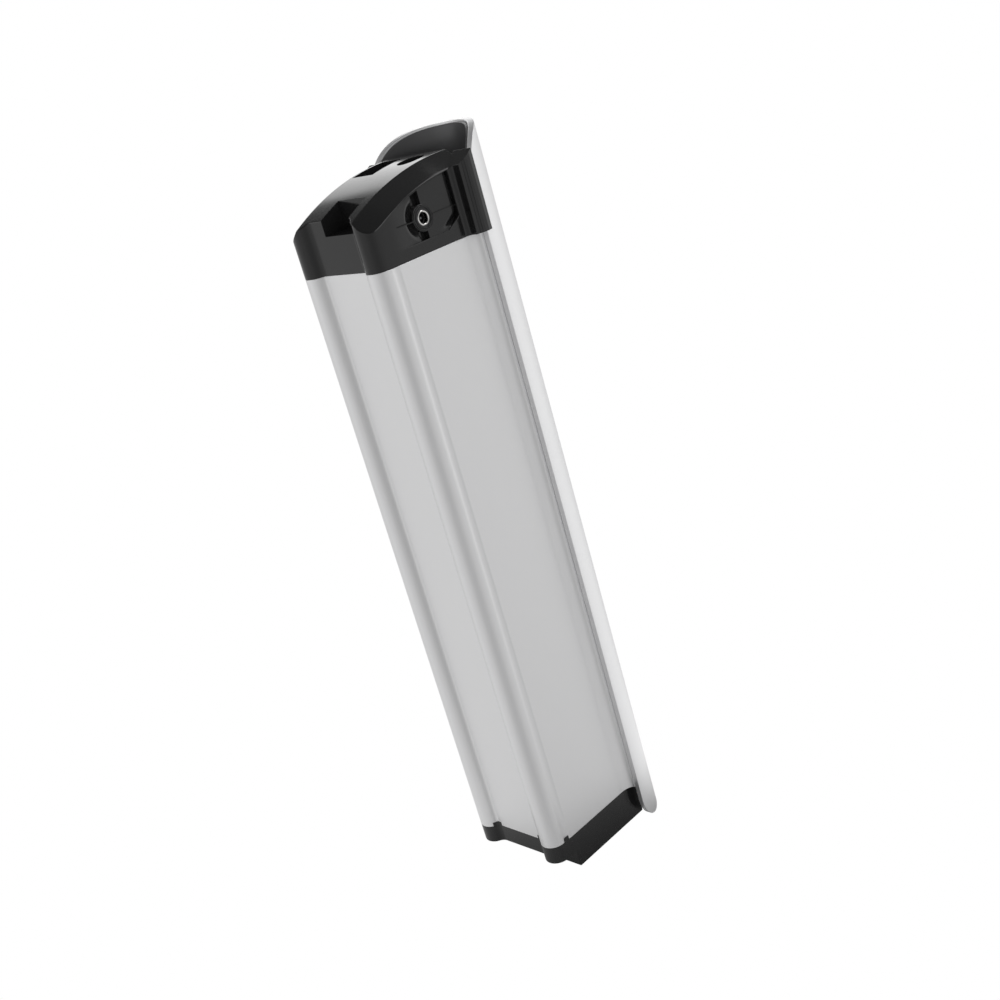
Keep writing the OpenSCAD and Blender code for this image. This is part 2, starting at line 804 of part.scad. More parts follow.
// One welded strip over the cells first..last of the path.
module strip(first, last) {
    translate([holder_out, 0, 0]) {
        for (n = [first:last]) {
            at = cell_at(n);
            box(0, strip_t, at[0] - 4, at[0] + 4, at[1] - 4, at[1] + 4);
        }
        if (last > first) for (n = [first:last - 1]) {
            a = cell_at(n);
            b = cell_at(n + 1);
            box(0, strip_t, min(a[0], b[0]) - 3.5, max(a[0], b[0]) + 3.5,
                min(a[1], b[1]) - 3.5, max(a[1], b[1]) + 3.5);
        }
    }
    for (n = [first:last])
        translate([cell_end + 0.02, cell_at(n)[0], cell_at(n)[1]]) rotate([0, 90, 0])
            cylinder(r = 2.5, h = holder_out - cell_end - 0.02 + strip_t / 2, $fn = 24);
}

module right_strips() {
    color("lightgray") place() for (first = [0:2 * group:cell_count - 1])
        strip(first, min(first + 2 * group - 1, cell_count - 1));
}

module left_strips() {
    color("lightgray") place() mirror([1, 0, 0]) {
        strip(0, group - 1);
        for (first = [group:2 * group:cell_count - 1])
            strip(first, min(first + 2 * group - 1, cell_count - 1));
    }
}

sheet_in = holder_out + strip_t + 0.1;
sheet_t = 0.5;

module side_sheet() {
    box(sheet_in, sheet_in + sheet_t, holder_front, holder_back, holder_low, holder_top);
}

module right_insulation() {
    color("sienna") place() side_sheet();
}

module left_insulation() {
    color("sienna") place() mirror([1, 0, 0]) side_sheet();
}

// Foam between an insulating sheet and the housing's wall, in two long pads.
module side_foam() {
    for (y = [holder_front + 8, holder_back - 24])
        box(sheet_in + sheet_t, in_x - 0.1, y, y + 16, holder_low + 6, holder_top - 6);
}

module right_foam() {
    color("gray") place() side_foam();
}

module left_foam() {
    color("gray") place() mirror([1, 0, 0]) side_foam();
}

module bottom_foam() {
    color("gray") place() difference() {
        box(-holder_out, holder_out, spigot_front + wall + 0.4, holder_back - 1, 0, holder_low);
        box(-lead_way, lead_way, 0, spigot_front + wall + 8, -1, big);
        box(-lead_way, lead_way, 0, outlet_y, -1, 9);
        box(-outlet_w / 2 - 4, outlet_w / 2 + 4, outlet_y - outlet_d / 2 - 4,
            outlet_y + outlet_d / 2 + 4, -1, 6);
    }
}

// --- battery management board ---

board_z = housing_len - spigot_h - 19.5;
board_t = 1.6;
board_x = holder_out - 0.5;
board_front = holder_front + 1;
board_back = holder_back - 1;
post_x = holder_out - holder_t / 2;
post_y = [board_front + 4, board_back - 4];

module at_posts() {
    both_sides() for (y = post_y) translate([post_x, y, 0]) children();
}

module bms_standoffs() {
    color("gold") place() at_posts() translate([0, 0, holder_top])
        difference() {
            cylinder(r = 2.9, h = board_z - holder_top, $fn = 6);
            translate([0, 0, 2]) cylinder(r = 1.25, h = big);
        }
}

module bms_board() {
    color("darkgreen") place() difference() {
        box(-board_x, board_x, board_front, board_back, board_z, board_z + board_t);
        at_posts() translate([0, 0, board_z - 1]) cylinder(r = 1.6, h = 5);
    }
}

module bms_screws() {
    color("lightgray") place() at_posts() translate([0, 0, board_z + board_t]) {
        translate([0, 0, -5]) cylinder(r = 1.2, h = 5 + eps);
        cylinder(r = 2.6, h = 1.6);
    }
}

board_top = board_z + board_t;
fet_count = 6;
fet_pitch = 9.5;
fet_w = 7;
fet_d = 8;
fet_h = 3;
fet_x = -(fet_count - 1) * fet_pitch / 2;    // first transistor's middle
fet_y = board_front + 9.5;
cap_r = 3.4;                  // capacitors
cap_h = 8;
header_x = 8;
header_w = 19;
header_y = board_back - 16;
header_d = 7;
header_h = 6;
chip_w = 10;
fuse_len = 14;
fuse_d = 8;
fuse_x = -board_x + 6;
fuse_y = board_back - fuse_d / 2 - 0.5;

module bms_parts() {
    color([0.15, 0.15, 0.15]) place() {
        // power transistors in a row
        for (i = [0:fet_count - 1])
            translate([fet_x + i * fet_pitch - fet_w / 2, fet_y, board_top])
                cube([fet_w, fet_d, fet_h]);
        for (i = [0:2])
            translate([-18 + i * 9, board_back - 12, board_top]) cylinder(r = cap_r, h = cap_h);
        // header for the balance wires
        translate([header_x, header_y, board_top]) cube([header_w, header_d, header_h]);
        // controller
        translate([-chip_w + 2, board_front + 30, board_top]) cube([chip_w, chip_w, 1.4]);
    }
}

// Finned bar on top of the transistors.
module bms_heat_spreader() {
    bar_x = fet_x - fet_w / 2 - 0.5;
    fin_z = board_top + fet_h + 2;
    color("silver") place() {
        box(bar_x, -bar_x, fet_y - 1, fet_y + fet_d + 1, board_top + fet_h, fin_z);
        for (i = [0:4])
            box(bar_x, -bar_x, fet_y - 1 + i * 2.25, fet_y + i * 2.25, fin_z - eps, fin_z + 5);
    }
}

module fuse() {
    color("orange") place() translate([fuse_x, fuse_y, board_top]) {
        box(0, fuse_len, -fuse_d / 2, fuse_d / 2, 2.6, 8.6);
        for (x = [1, fuse_len - 2.2])
            box(x, x + 1.2, -3, 3, 0, 4);
    }
}

// --- wiring, held inside the pack all the way ---

// Round wire through the points of a route, in straight runs joined by slightly larger balls.
module wire(route, r) {
    for (i = [0:len(route) - 2]) {
        step = route[i + 1] - route[i];
        run = norm(step);
        translate(route[i]) rotate([0, acos(step[2] / run), atan2(step[1], step[0])])
            cylinder(r = r, h = run, $fn = 20);
        translate(route[i]) sphere(r = r * 1.04, $fn = 20);
    }
    translate(route[len(route) - 1]) sphere(r = r * 1.04, $fn = 20);
}

bay_y = wall + 4;             // wires run up the bay behind the front panel
lead_r = 1.9;

module discharge_leads() {
    color("firebrick") place() for (side = [-1, 1])
        wire([[side * 5, outlet_y, socket_top + 7.1], [side * 5, outlet_y - 14, 0],
            [side * 5, bay_y + 1, 6], [side * 5, bay_y, 14], [side * 5, bay_y, board_z - 6],
            [side * 5, bay_y + 2, board_z + 4], [side * 5, board_front + 4, board_top + 2.2]],
            lead_r);
}

module charge_leads() {
    color("black") place() for (side = [-1, 1])
        wire([[port_back_x - 5.4, port_y + side * 2, housing_len + port_z],
            [10, port_y + side * 3, housing_len + 6],
            [4, port_y + side * 2.2, board_top + 1.4]], 1.1);
}

// One thin wire to each group of cells, from the board's header down behind the cells.
module balance_harness() {
    wires = cell_count / group;
    tap_step = (holder_top - holder_low) / (wires + 1);
    wire_z = board_top + header_h + 0.7;
    color("white") place() for (i = [0:wires - 1]) {
        x = header_x + (i + 1) * header_w / (wires + 1);
        wire([[x, header_y + header_d / 2, wire_z], [x, board_back - 4, wire_z],
            [x, board_back + 3, board_top - 2], [x, board_back + 3, holder_top - (i + 1) * tap_step]],
            0.55);
    }
}

housing();
cover_plate();
plate_tape();
top_cap();
top_gasket();
top_cap_screws();
charge_port_body();
charge_port_ring();
charge_port_pin();
charge_port_nut();
bottom_cap();
bottom_gasket();
bottom_cap_screws();
discharge_socket();
discharge_contacts();
cells();
left_holder();
right_holder();
left_strips();
right_strips();
left_insulation();
right_insulation();
left_foam();
right_foam();
bottom_foam();
bms_standoffs();
bms_board();
bms_parts();
bms_heat_spreader();
bms_screws();
fuse();
discharge_leads();
charge_leads();
balance_harness();
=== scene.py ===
import math
import bpy
import bmesh
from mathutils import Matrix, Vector


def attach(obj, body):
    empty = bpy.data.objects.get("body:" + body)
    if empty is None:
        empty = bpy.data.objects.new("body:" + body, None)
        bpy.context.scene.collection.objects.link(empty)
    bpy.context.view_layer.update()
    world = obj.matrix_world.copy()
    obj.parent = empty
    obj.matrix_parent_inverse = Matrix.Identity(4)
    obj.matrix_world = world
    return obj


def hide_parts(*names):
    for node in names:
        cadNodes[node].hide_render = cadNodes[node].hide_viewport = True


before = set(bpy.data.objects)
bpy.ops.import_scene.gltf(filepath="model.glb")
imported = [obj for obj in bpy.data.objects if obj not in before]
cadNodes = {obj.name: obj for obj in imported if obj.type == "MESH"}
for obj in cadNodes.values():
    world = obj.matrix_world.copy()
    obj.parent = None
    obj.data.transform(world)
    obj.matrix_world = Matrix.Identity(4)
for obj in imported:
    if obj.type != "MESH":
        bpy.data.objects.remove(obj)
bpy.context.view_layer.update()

print("frame loaded:", len(cadNodes), "nodes")


# Materials: each finish has a base, a slow change of shade and roughness, and a fine grain.

# New shader node; an input is given as another node's output or as a value.
def addNode(tree, kind, inputs, **settings):
    node = tree.nodes.new("ShaderNode" + kind)
    for name, value in settings.items():
        setattr(node, name, value)
    for socket, value in inputs.items():
        if isinstance(value, bpy.types.NodeSocket):
            tree.links.new(value, node.inputs[socket])
        else:
            node.inputs[socket].default_value = value
    return node


def newMaterial(name, baseColor, metallic, roughness):
    material = bpy.data.materials.new(name)
    material.use_nodes = True
    tree = material.node_tree
    tree.nodes.clear()
    shader = addNode(tree, "BsdfPrincipled", {"Base Color": (*baseColor, 1), "Metallic": metallic,
                                              "Roughness": roughness})
    addNode(tree, "OutputMaterial", {"Surface": shader.outputs["BSDF"]})
    return material, tree, shader


def objectCoords(tree, scale=(1, 1, 1)):
    coords = addNode(tree, "TexCoord", {})
    mapping = addNode(tree, "Mapping", {"Vector": coords.outputs["Object"], "Scale": scale})
    return mapping.outputs["Vector"]


def noiseAt(tree, vector, scale, detail=3):
    noise = addNode(tree, "TexNoise", {"Vector": vector, "Scale": scale, "Detail": detail})
    return noise.outputs["Fac"]


def remap(tree, value, low, high, outLow, outHigh):
    return addNode(tree, "MapRange", {"Value": value, "From Min": low, "From Max": high,
                                      "To Min": outLow, "To Max": outHigh}).outputs["Result"]


def mixColors(tree, fac, first, second):
    return addNode(tree, "Mix", {"Factor": fac, "A": (*first, 1), "B": (*second, 1)},
                   data_type="RGBA").outputs["Result"]


def addBump(tree, shader, height, strength, distance):
    bump = addNode(tree, "Bump", {"Height": height, "Strength": strength, "Distance": distance})
    tree.links.new(bump.outputs["Normal"], shader.inputs["Normal"])


def makeFinish(name, look, stretch):
    color = look["color"]
    material, tree, shader = newMaterial(name, color, look["metallic"], look["roughness"])
    slow = noiseAt(tree, objectCoords(tree, stretch), look["slowScale"])
    grain = noiseAt(tree, objectCoords(tree), look["grainScale"], 2)
    spread = look["shade"]
    darker = tuple(c * (1 - spread) for c in color)
    lighter = tuple(min(1, c * (1 + spread)) for c in color)
    tree.links.new(mixColors(tree, slow, darker, lighter), shader.inputs["Base Color"])
    # noise hardly leaves 0.3 to 0.7
    rough = remap(tree, slow, 0.3, 0.7, look["roughness"] - look["roughSpread"],
                  look["roughness"] + look["roughSpread"])
    tree.links.new(rough, shader.inputs["Roughness"])
    addBump(tree, shader, grain, look["grain"], look["grainDepth"])
    return material


# Columns: color, metallic, roughness and how far it strays, scale of the slow change and how
# much the shade strays, then the grain's scale, strength and depth in metres.
finishTable = {
    "blastedAluminium": ((0.86, 0.86, 0.865), 0.8, 0.34, 0.02, 22, 0.012, 2600, 0.25, 0.00004),
    "glossBlack": ((0.012, 0.012, 0.0122), 0.0, 0.13, 0.02, 30, 0.1, 900, 0.05, 0.00001),
    "satinBlack": ((0.02, 0.02, 0.021), 0.0, 0.42, 0.05, 40, 0.1, 1800, 0.3, 0.00004),
    "nickelPlate": ((0.86, 0.85, 0.83), 1.0, 0.14, 0.04, 400, 0.03, 3000, 0.1, 0.00001),
    "zincPlate": ((0.68, 0.68, 0.69), 1.0, 0.3, 0.08, 300, 0.05, 2500, 0.15, 0.00002),
    # pin: nickel made darker as painted shade, standing in for the shade deep in the socket's bore
    "darkNickel": ((0.2, 0.2, 0.21), 1.0, 0.35, 0.05, 300, 0.05, 2500, 0.1, 0.00001),
    "liningBlack": ((0.11, 0.11, 0.112), 0.6, 0.33, 0.04, 40, 0.1, 1800, 0.1, 0.00001),
    "goldPlate": ((0.86, 0.66, 0.32), 1.0, 0.22, 0.05, 300, 0.05, 2500, 0.1, 0.00001),
    "blackRubber": ((0.018, 0.018, 0.018), 0.0, 0.75, 0.08, 60, 0.15, 1500, 0.4, 0.00006),
    "tapeFoam": ((0.05, 0.05, 0.05), 0.0, 0.85, 0.05, 60, 0.15, 1500, 0.4, 0.00006),
    "cellWrap": ((0.03, 0.3, 0.22), 0.0, 0.28, 0.08, 50, 0.12, 800, 0.2, 0.00005),
    "nickelStrip": ((0.7, 0.68, 0.63), 1.0, 0.34, 0.08, 120, 0.06, 2200, 0.2, 0.00003),
    "fibrePaper": ((0.62, 0.52, 0.33), 0.0, 0.8, 0.06, 80, 0.1, 1200, 0.35, 0.00005),
    "greyFoam": ((0.16, 0.16, 0.17), 0.0, 0.95, 0.03, 90, 0.2, 700, 0.8, 0.0003),
    "solderResist": ((0.015, 0.14, 0.05), 0.0, 0.3, 0.08, 150, 0.2, 1800, 0.15, 0.00003),
    "fuseAmber": ((0.75, 0.3, 0.03), 0.0, 0.25, 0.05, 90, 0.1, 900, 0.1, 0.00003),
    "redSilicone": ((0.42, 0.02, 0.02), 0.0, 0.5, 0.08, 90, 0.12, 1500, 0.2, 0.00004),
    "whiteSilicone": ((0.62, 0.61, 0.58), 0.0, 0.5, 0.08, 90, 0.08, 1500, 0.2, 0.00004),
}
finishColumns = ("color", "metallic", "roughness", "roughSpread", "slowScale", "shade", "grainScale",
                 "grain", "grainDepth")
drawnOut = {"blastedAluminium": (1, 1, 0.05)}    # the slow change runs along the extrusion
finishes = {name: makeFinish(name, dict(zip(finishColumns, row)), drawnOut.get(name, (1, 1, 1)))
            for name, row in finishTable.items()}
print("finishes made:", len(finishes))


# Every node of the frame gets its finish; those that no new mesh replaces keep their own mesh.

nodesWith = {
    "tapeFoam": ("plate_tape",),
    "blackRubber": ("top_gasket", "bottom_gasket", "charge_leads"),
    "zincPlate": ("top_cap_screws", "charge_port_nut", "bottom_cap_screws", "bms_screws"),
    "satinBlack": ("discharge_socket", "left_holder", "right_holder", "bms_parts"),
    "goldPlate": ("discharge_contacts", "bms_standoffs"),
    "cellWrap": ("cells",),
    "nickelStrip": ("left_strips", "right_strips"),
    "fibrePaper": ("left_insulation", "right_insulation"),
    "greyFoam": ("left_foam", "right_foam", "bottom_foam"),
    "solderResist": ("bms_board",),
    "blastedAluminium": ("bms_heat_spreader", "housing", "cover_plate"),
    "fuseAmber": ("fuse",),
    "redSilicone": ("discharge_leads",),
    "whiteSilicone": ("balance_harness",),
    "glossBlack": ("top_cap", "bottom_cap", "charge_port_body"),
    "nickelPlate": ("charge_port_ring",),
    # the pin's nickel is darkened by painted shade of the bore
    "darkNickel": ("charge_port_pin",),
}


def setFinish(piece, name):
    piece.data.materials.clear()
    piece.data.materials.append(finishes[name])


for finishName, nodeNames in nodesWith.items():
    for nodeName in nodeNames:
        setFinish(cadNodes[nodeName], finishName)


# Sizes that the visible pieces share, in millimetres about the middle of the front panel
# at the housing's lower end; toFrame() brings a point into the frame's metres.

mergeDistance = 1e-7      # metres
axisGap = 0.01            # turned pieces stop this far from their axis
pack = {
    "housingLength": 400.0,
    "halfWidth": 39.25,
    "depth": 79.0,
    "midDepth": 54.125,       # front panel to the frame's origin
    "lift": 30.5,             # housing's lower end above the floor
    "plateRadius": 49.0,
    "plateThickness": 4.0,
    "plateAxis": 65.2,
}


def toFrame(x, y, z):
    return (x / 1000, (y - pack["midDepth"]) / 1000, (z + pack["lift"]) / 1000)


def linked(name, data):
    thing = bpy.data.objects.new(name, data)
    bpy.context.scene.collection.objects.link(thing)
    return thing


def arcPoints(center, radius, start, end, steps):
    points = []
    for i in range(steps + 1):
        turn = math.radians(start + (end - start) * i / steps)
        points.append((center[0] + radius * math.cos(turn), center[1] + radius * math.sin(turn)))
    return points


# A rounded edge as steps: how far in and how far down each lies from the sharp corner.
def quarterRound(radius, steps):
    turns = [math.pi / 2 * k / steps for k in range(steps + 1)]
    return [(radius * (1 - math.cos(turn)), radius * (1 - math.sin(turn))) for turn in turns]


def mirrored(line):
    return [(-x, y) for x, y in reversed(line)]


# Faces between two rings of as many points.
def bandFaces(lower, upper):
    turned = [*range(1, len(lower)), 0]
    return [(lower[i], lower[j], upper[j], upper[i]) for i, j in enumerate(turned)]


# Points and side faces of rings that stand on each other, closed by a face below.
def stackedRings(rings):
    count = len(rings[0])
    numbers = [range(n * count, (n + 1) * count) for n in range(len(rings))]
    faces = [face for low, high in zip(numbers, numbers[1:]) for face in bandFaces(low, high)]
    return [point for ring in rings for point in ring], faces + [tuple(numbers[0])[::-1]]


def gridFaces(grid, columns, rows):
    return [(grid[i, j], grid[i + 1, j], grid[i + 1, j + 1], grid[i, j + 1])
            for i in range(columns) for j in range(rows)]


# The grid's border as (column, row), once round.
def gridBorder(columns, rows):
    return ([(i, 0) for i in range(columns)] + [(columns, j) for j in range(rows)]
            + [(i, rows) for i in range(columns, 0, -1)] + [(0, j) for j in range(rows, 0, -1)])


def applyModifiers(piece):
    graph = bpy.context.evaluated_depsgraph_get()
    mesh = bpy.data.meshes.new_from_object(piece.evaluated_get(graph), depsgraph=graph)
    piece.modifiers.clear()
    piece.data = mesh
    mesh.name = piece.name


# Smooth shading that follows the large faces, with sharp edges kept.
def evenShading(piece, sharpAngle):
    for face in piece.data.polygons:
        face.use_smooth = True
    piece.data.set_sharp_from_angle(angle=math.radians(sharpAngle))
    normals = piece.modifiers.new("evenNormals", "WEIGHTED_NORMAL")
    normals.keep_sharp = True
    normals.weight = 90       # large faces lead
    applyModifiers(piece)


def rawObject(name, points, faces):
    mesh = bpy.data.meshes.new(name)
    mesh.from_pydata([toFrame(*point) for point in points], [], faces)
    work = bmesh.new()
    work.from_mesh(mesh)
    bmesh.ops.remove_doubles(work, verts=work.verts, dist=mergeDistance)
    bmesh.ops.recalc_face_normals(work, faces=work.faces)
    work.to_mesh(mesh)
    work.free()
    return linked(name, mesh)


def joined(name, things):
    work = bmesh.new()
    for thing in things:
        work.from_mesh(thing.data)
    mesh = bpy.data.meshes.new(name)
    work.to_mesh(mesh)
    work.free()
    for thing in things:
        bpy.data.objects.remove(thing)
    return linked(name, mesh)


def cutAway(thing, cutter):
    cut = thing.modifiers.new("cut", "BOOLEAN")
    cut.operation = "DIFFERENCE"
    cut.solver = "EXACT"
    cut.object = cutter
    applyModifiers(thing)
    bpy.data.objects.remove(cutter)


def handOver(piece, finish, replaced, sharpAngle=40):
    evenShading(piece, sharpAngle)
    setFinish(piece, finish)
    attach(piece, "root")
    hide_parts(replaced)
    print("piece:", piece.name, len(piece.data.polygons), "faces")


# Curved sheet about the plate's axis: rows follow a border in side view, columns its curve.

def sheetPoint(y, z, fraction, radius):
    lean = max(-1.0, min(1.0, (y - pack["plateAxis"]) / radius))
    turn = math.acos(lean) * fraction
    return (radius * math.sin(turn), pack["plateAxis"] + radius * math.cos(turn), z)


# border runs up the sheet's front edge as (y, z); normals point out of the sheet there.
def curvedSheet(name, border, normals, outer, thickness, soft, softSteps=4, columns=72):
    rows, inner = len(border), outer - thickness
    # layers from the outer face over the rounded border to the inner face
    layers = [(drop, outer - inset) for inset, drop in quarterRound(soft, softSteps)]
    layers += [(inset, inner + drop) for inset, drop in quarterRound(soft, softSteps)]
    points, faces = [], []

    def gridPoint(row, column, layer):
        inset, radius = layers[layer]
        y = border[row][0] - normals[row][0] * inset
        z = border[row][1] - normals[row][1] * inset
        return sheetPoint(y, z, 2 * column / columns - 1, radius)

    def addGrid(layer, flip):
        first = len(points)
        for row in range(rows):
            for column in range(columns + 1):
                points.append(gridPoint(row, column, layer))
        for row in range(rows - 1):
            for column in range(columns):
                a = first + row * (columns + 1) + column
                quad = (a, a + 1, a + columns + 2, a + columns + 1)
                faces.append(quad[::-1] if flip else quad)

    addGrid(0, False)
    addGrid(len(layers) - 1, True)
    ring = gridBorder(columns, rows - 1)
    for layer in range(len(layers) - 1):
        first = len(points)
        for column, row in ring:
            points.append(gridPoint(row, column, layer))
            points.append(gridPoint(row, column, layer + 1))
        for i in range(len(ring)):
            a, b = first + 2 * i, first + 2 * ((i + 1) % len(ring))
            faces.append((a, a + 1, b + 1, b))
    return rawObject(name, points, faces)


plate = {
    "top": 463.0,
    "foot": -30.5,
    "edge": 74.5,             # front edges, behind the front panel
    "topCorner": 36.0,
    "footCorner": 19.0,
    "edgeSoftness": 0.45,
    "cornerSteps": (24, 40),
}


# Each end's corner arc with its outward normals, from the foot's middle to the top's middle.
def makePlate():
    footCorner, topCorner = plate["footCorner"], plate["topCorner"]
    footSteps, topSteps = plate["cornerSteps"]
    border, normals = [], []
    for radius, level, start, end, steps in (
            (footCorner, plate["foot"] + footCorner, -90, -180, footSteps),
            (topCorner, plate["top"] - topCorner, 180, 90, topSteps)):
        border += arcPoints((plate["edge"] + radius, level), radius, start, end, steps)
        normals += arcPoints((0, 0), 1.0, start, end, steps)
    sheet = curvedSheet("coverPlateShell", border, normals, pack["plateRadius"],
                        pack["plateThickness"], plate["edgeSoftness"])
    handOver(sheet, "blastedAluminium", "cover_plate", sharpAngle=50)


makePlate()


# Housing: the section's outline pushed up, hollow like the CAD node, with softened ends.

section = {
    "railRadius": 9.15,
    "railX": 29.75,
    "railY": 3.2,
    "panelFillet": 2.7,
    "cornerRadius": 2.0,
    "sideStart": 8.0,
    "valleyRadius": 8.0,
    "flangeDepth": 5.0,
    "flangeRadius": 44.7,
    "flangeFillet": (4.4, 9.0),       # outwards, and along the side
    "flangeNose": ((-0.1, 0.0), (0.12, 0.06), (0.17, 0.2), (0.1, 1.2)),   # out, and back
    "noseLength": 1.4,
    "capRunout": (0.1, 2.0),          # where a cap's rail end meets its flat side
    "capRearEdge": 0.3,
    "wall": 2.0,
    "stepHalf": 18.2,                 # hollow's front step, where the front panel stands out
    "channelBlock": 7.0,              # rear corners, solid for the screw channels
    "arcStep": 5.0,                   # degrees
    "endSoftness": 0.3,
}


# Centre of the circle that touches two others, to the right of the way from first to second.
def touchCircle(first, firstRadius, second, secondRadius, radius):
    span = (second - first).length
    along = ((firstRadius + radius) ** 2 - (secondRadius + radius) ** 2 + span ** 2) / (2 * span)
    off = math.sqrt((firstRadius + radius) ** 2 - along ** 2)
    way = (second - first) / span
    return first + along * way + off * Vector((way.y, -way.x))


def angleOf(center, point):
    return math.degrees(math.atan2(point[1] - center[1], point[0] - center[0]))


def arcOn(center, radius, start, end, clockwise=False):
    while not clockwise and end < start:
        end += 360
    while clockwise and end > start:
        end -= 360
    steps = max(2, math.ceil(abs(end - start) / section["arcStep"]))
    return arcPoints(center, radius, start, end, steps)


def sideCorner():
    return Vector((pack["halfWidth"] - section["cornerRadius"],
                   section["sideStart"] + section["cornerRadius"]))


# Right half of a section, from the middle of the front panel round to the middle of the rear.
def halfSection(fillet, flange=True, valley=True):
    rail = Vector((section["railX"], section["railY"]))
    radius, half = section["railRadius"], pack["halfWidth"]
    panel = Vector((rail.x - math.sqrt((radius + fillet) ** 2 - (rail.y + fillet) ** 2), -fillet))
    corner = sideCorner()
    points = arcOn(panel, fillet, 90, angleOf(panel, rail), True)
    if valley:
        hollow = touchCircle(rail, radius, corner, section["cornerRadius"], section["valleyRadius"])
        points += arcOn(rail, radius, angleOf(rail, panel), angleOf(rail, hollow))[1:]
        points += arcOn(hollow, section["valleyRadius"], angleOf(hollow, rail),
                        angleOf(hollow, corner), True)[1:]
        points += arcOn(corner, section["cornerRadius"], angleOf(corner, hollow), 0)[1:]
    else:
        runIn, runBack = section["capRunout"]
        points += arcOn(rail, radius, angleOf(rail, panel), 0)[1:]
        points += [(half - runIn, rail.y + runBack), (half, corner.y)]
    if flange:
        front = pack["depth"] - section["flangeDepth"]
        reach = section["flangeRadius"]
        outwards, along = section["flangeFillet"]
        tip = math.sqrt(reach ** 2 - (front - pack["plateAxis"]) ** 2)
        rear = math.sqrt(reach ** 2 - (pack["depth"] - pack["plateAxis"]) ** 2)
        points += [(half + outwards * (1 + u), front + along * (v - 1))
                   for u, v in arcOn((0, 0), 1.0, 180, 90, True)]
        axis = (0.0, pack["plateAxis"])
        points += [(tip + out, front + back) for out, back in section["flangeNose"]]
        points += arcOn(axis, reach, angleOf(axis, (tip, front + section["noseLength"])),
                        angleOf(axis, (rear, pack["depth"])))
    else:
        edge = section["capRearEdge"]
        points += [(half, pack["depth"] - edge), (half - edge, pack["depth"])]
    return points


# Outline moved inwards by some distance, for rounded ends.
def movedIn(outline, distance):
    if distance < 1e-6:
        return outline
    moved = []
    for i, point in enumerate(outline):
        here = Vector(point)
        first = (here - Vector(outline[i - 1])).normalized()
        second = (Vector(outline[(i + 1) % len(outline)]) - here).normalized()
        side = Vector((-(first.y + second.y), first.x + second.x)).normalized()
        lean = max(0.5, side.dot(Vector((-first.y, first.x))))    # a sharp corner moves 2x at most
        moved.append(tuple(here + side * distance / lean))
    return moved


# Prism with rounded ends; holes are outlines that run right through.
def prismObject(name, outline, low, high, soft, holes=(), softTop=None):
    softTop = soft if softTop is None else softTop
    levels = [(drop, low + inset) for inset, drop in quarterRound(soft, 3)]
    levels += [(inset, high - drop) for inset, drop in quarterRound(softTop, 3)]
    work = bmesh.new()
    loops = [[work.verts.new((x, y, z)) for x, y in movedIn(outline, inset)] for inset, z in levels]
    for lower, upper in zip(loops, loops[1:]):
        for face in bandFaces(lower, upper):
            work.faces.new(face)
    ends = [[loops[0]], [loops[-1]]]
    for hole in holes:
        rims = [[work.verts.new((x, y, z)) for x, y in hole] for z in (low, high)]
        for face in bandFaces(*rims):
            work.faces.new(face)
        ends[0].append(rims[0])
        ends[1].append(rims[1])
    for end in ends:
        edges = [work.edges.get(pair) or work.edges.new(pair)
                 for loop in end for pair in zip(loop, loop[1:] + loop[:1])]
        bmesh.ops.triangle_fill(work, edges=edges, use_beauty=True)
    points = [tuple(v.co) for v in work.verts]
    work.verts.index_update()
    faces = [tuple(v.index for v in face.verts) for face in work.faces]
    work.free()
    return rawObject(name, points, faces)


# Each corner of a closed outline as the points of an arc of the given radius.
def cornerArcs(corners, radius, steps=4):
    arcs = []
    for i, corner in enumerate(corners):
        here = Vector(corner)
        before = Vector(corners[i - 1]) - here
        after = Vector(corners[(i + 1) % len(corners)]) - here
        half = before.angle(after) / 2
        reach = min(radius / math.tan(half), before.length * 0.45, after.length * 0.45)
        if reach < 0.02:
            arcs.append([tuple(here)])
            continue
        start, end = here + before.normalized() * reach, here + after.normalized() * reach
        arcs.append([tuple((1 - t) ** 2 * start + 2 * t * (1 - t) * here + t ** 2 * end)
                     for t in (k / steps for k in range(steps + 1))])
    return arcs


def rectangle(left, right, front, rear):
    return [(left, front), (right, front), (right, rear), (left, rear)]


def roundedOutline(corners, radius, steps=4):
    return [point for arc in cornerArcs(corners, radius, steps) for point in arc]


# Closed ring turned about a line along X through (y, z); profile holds (radius, x) pairs.
def latheObject(name, profile, center, steps=96):
    turns = [2 * math.pi * s / steps for s in range(steps)]
    points = [(x, center[0] + radius * math.cos(turn), center[1] + radius * math.sin(turn))
              for turn in turns for radius, x in profile]
    rings = [range(s * len(profile), (s + 1) * len(profile)) for s in range(steps)]
    faces = [face for ring, following in zip(rings, rings[1:] + rings[:1])
             for face in bandFaces(ring, following)]
    return rawObject(name, points, faces)


def boxObject(name, left, right, front, rear, low, high):
    points = [(x, y, z) for x in (left, right) for y in (front, rear) for z in (low, high)]
    faces = [(0, 1, 3, 2), (4, 6, 7, 5), (0, 4, 5, 1), (2, 3, 7, 6), (0, 2, 6, 4), (1, 5, 7, 3)]
    return rawObject(name, points, faces)


def columnObject(name, center, radius, low, high, steps=72):
    outline = arcPoints(center, radius, 0, 360 * (1 - 1 / steps), steps - 1)
    return prismObject(name, outline, low, high, soft=0.0005)


def makeHousing():
    half = halfSection(section["panelFillet"])
    wall, step, block = section["wall"], section["stepHalf"], section["channelBlock"]
    side, front, rear = pack["halfWidth"] - wall, section["sideStart"] + wall, pack["depth"] - wall
    bay = [(-side, front), (-step, front), (-step, wall), (step, wall), (step, front),
           (side, front), (side, rear - block), (side - block, rear - block), (side - block, rear),
           (-side + block, rear), (-side + block, rear - block), (-side, rear - block)]
    shell = prismObject("housingShell", half + mirrored(half), 0.0, pack["housingLength"],
                        section["endSoftness"], [bay])
    handOver(shell, "blastedAluminium", "housing")


makeHousing()


# Top cap: a body under the curved roof, with cuts, and the parts that stand out from it.

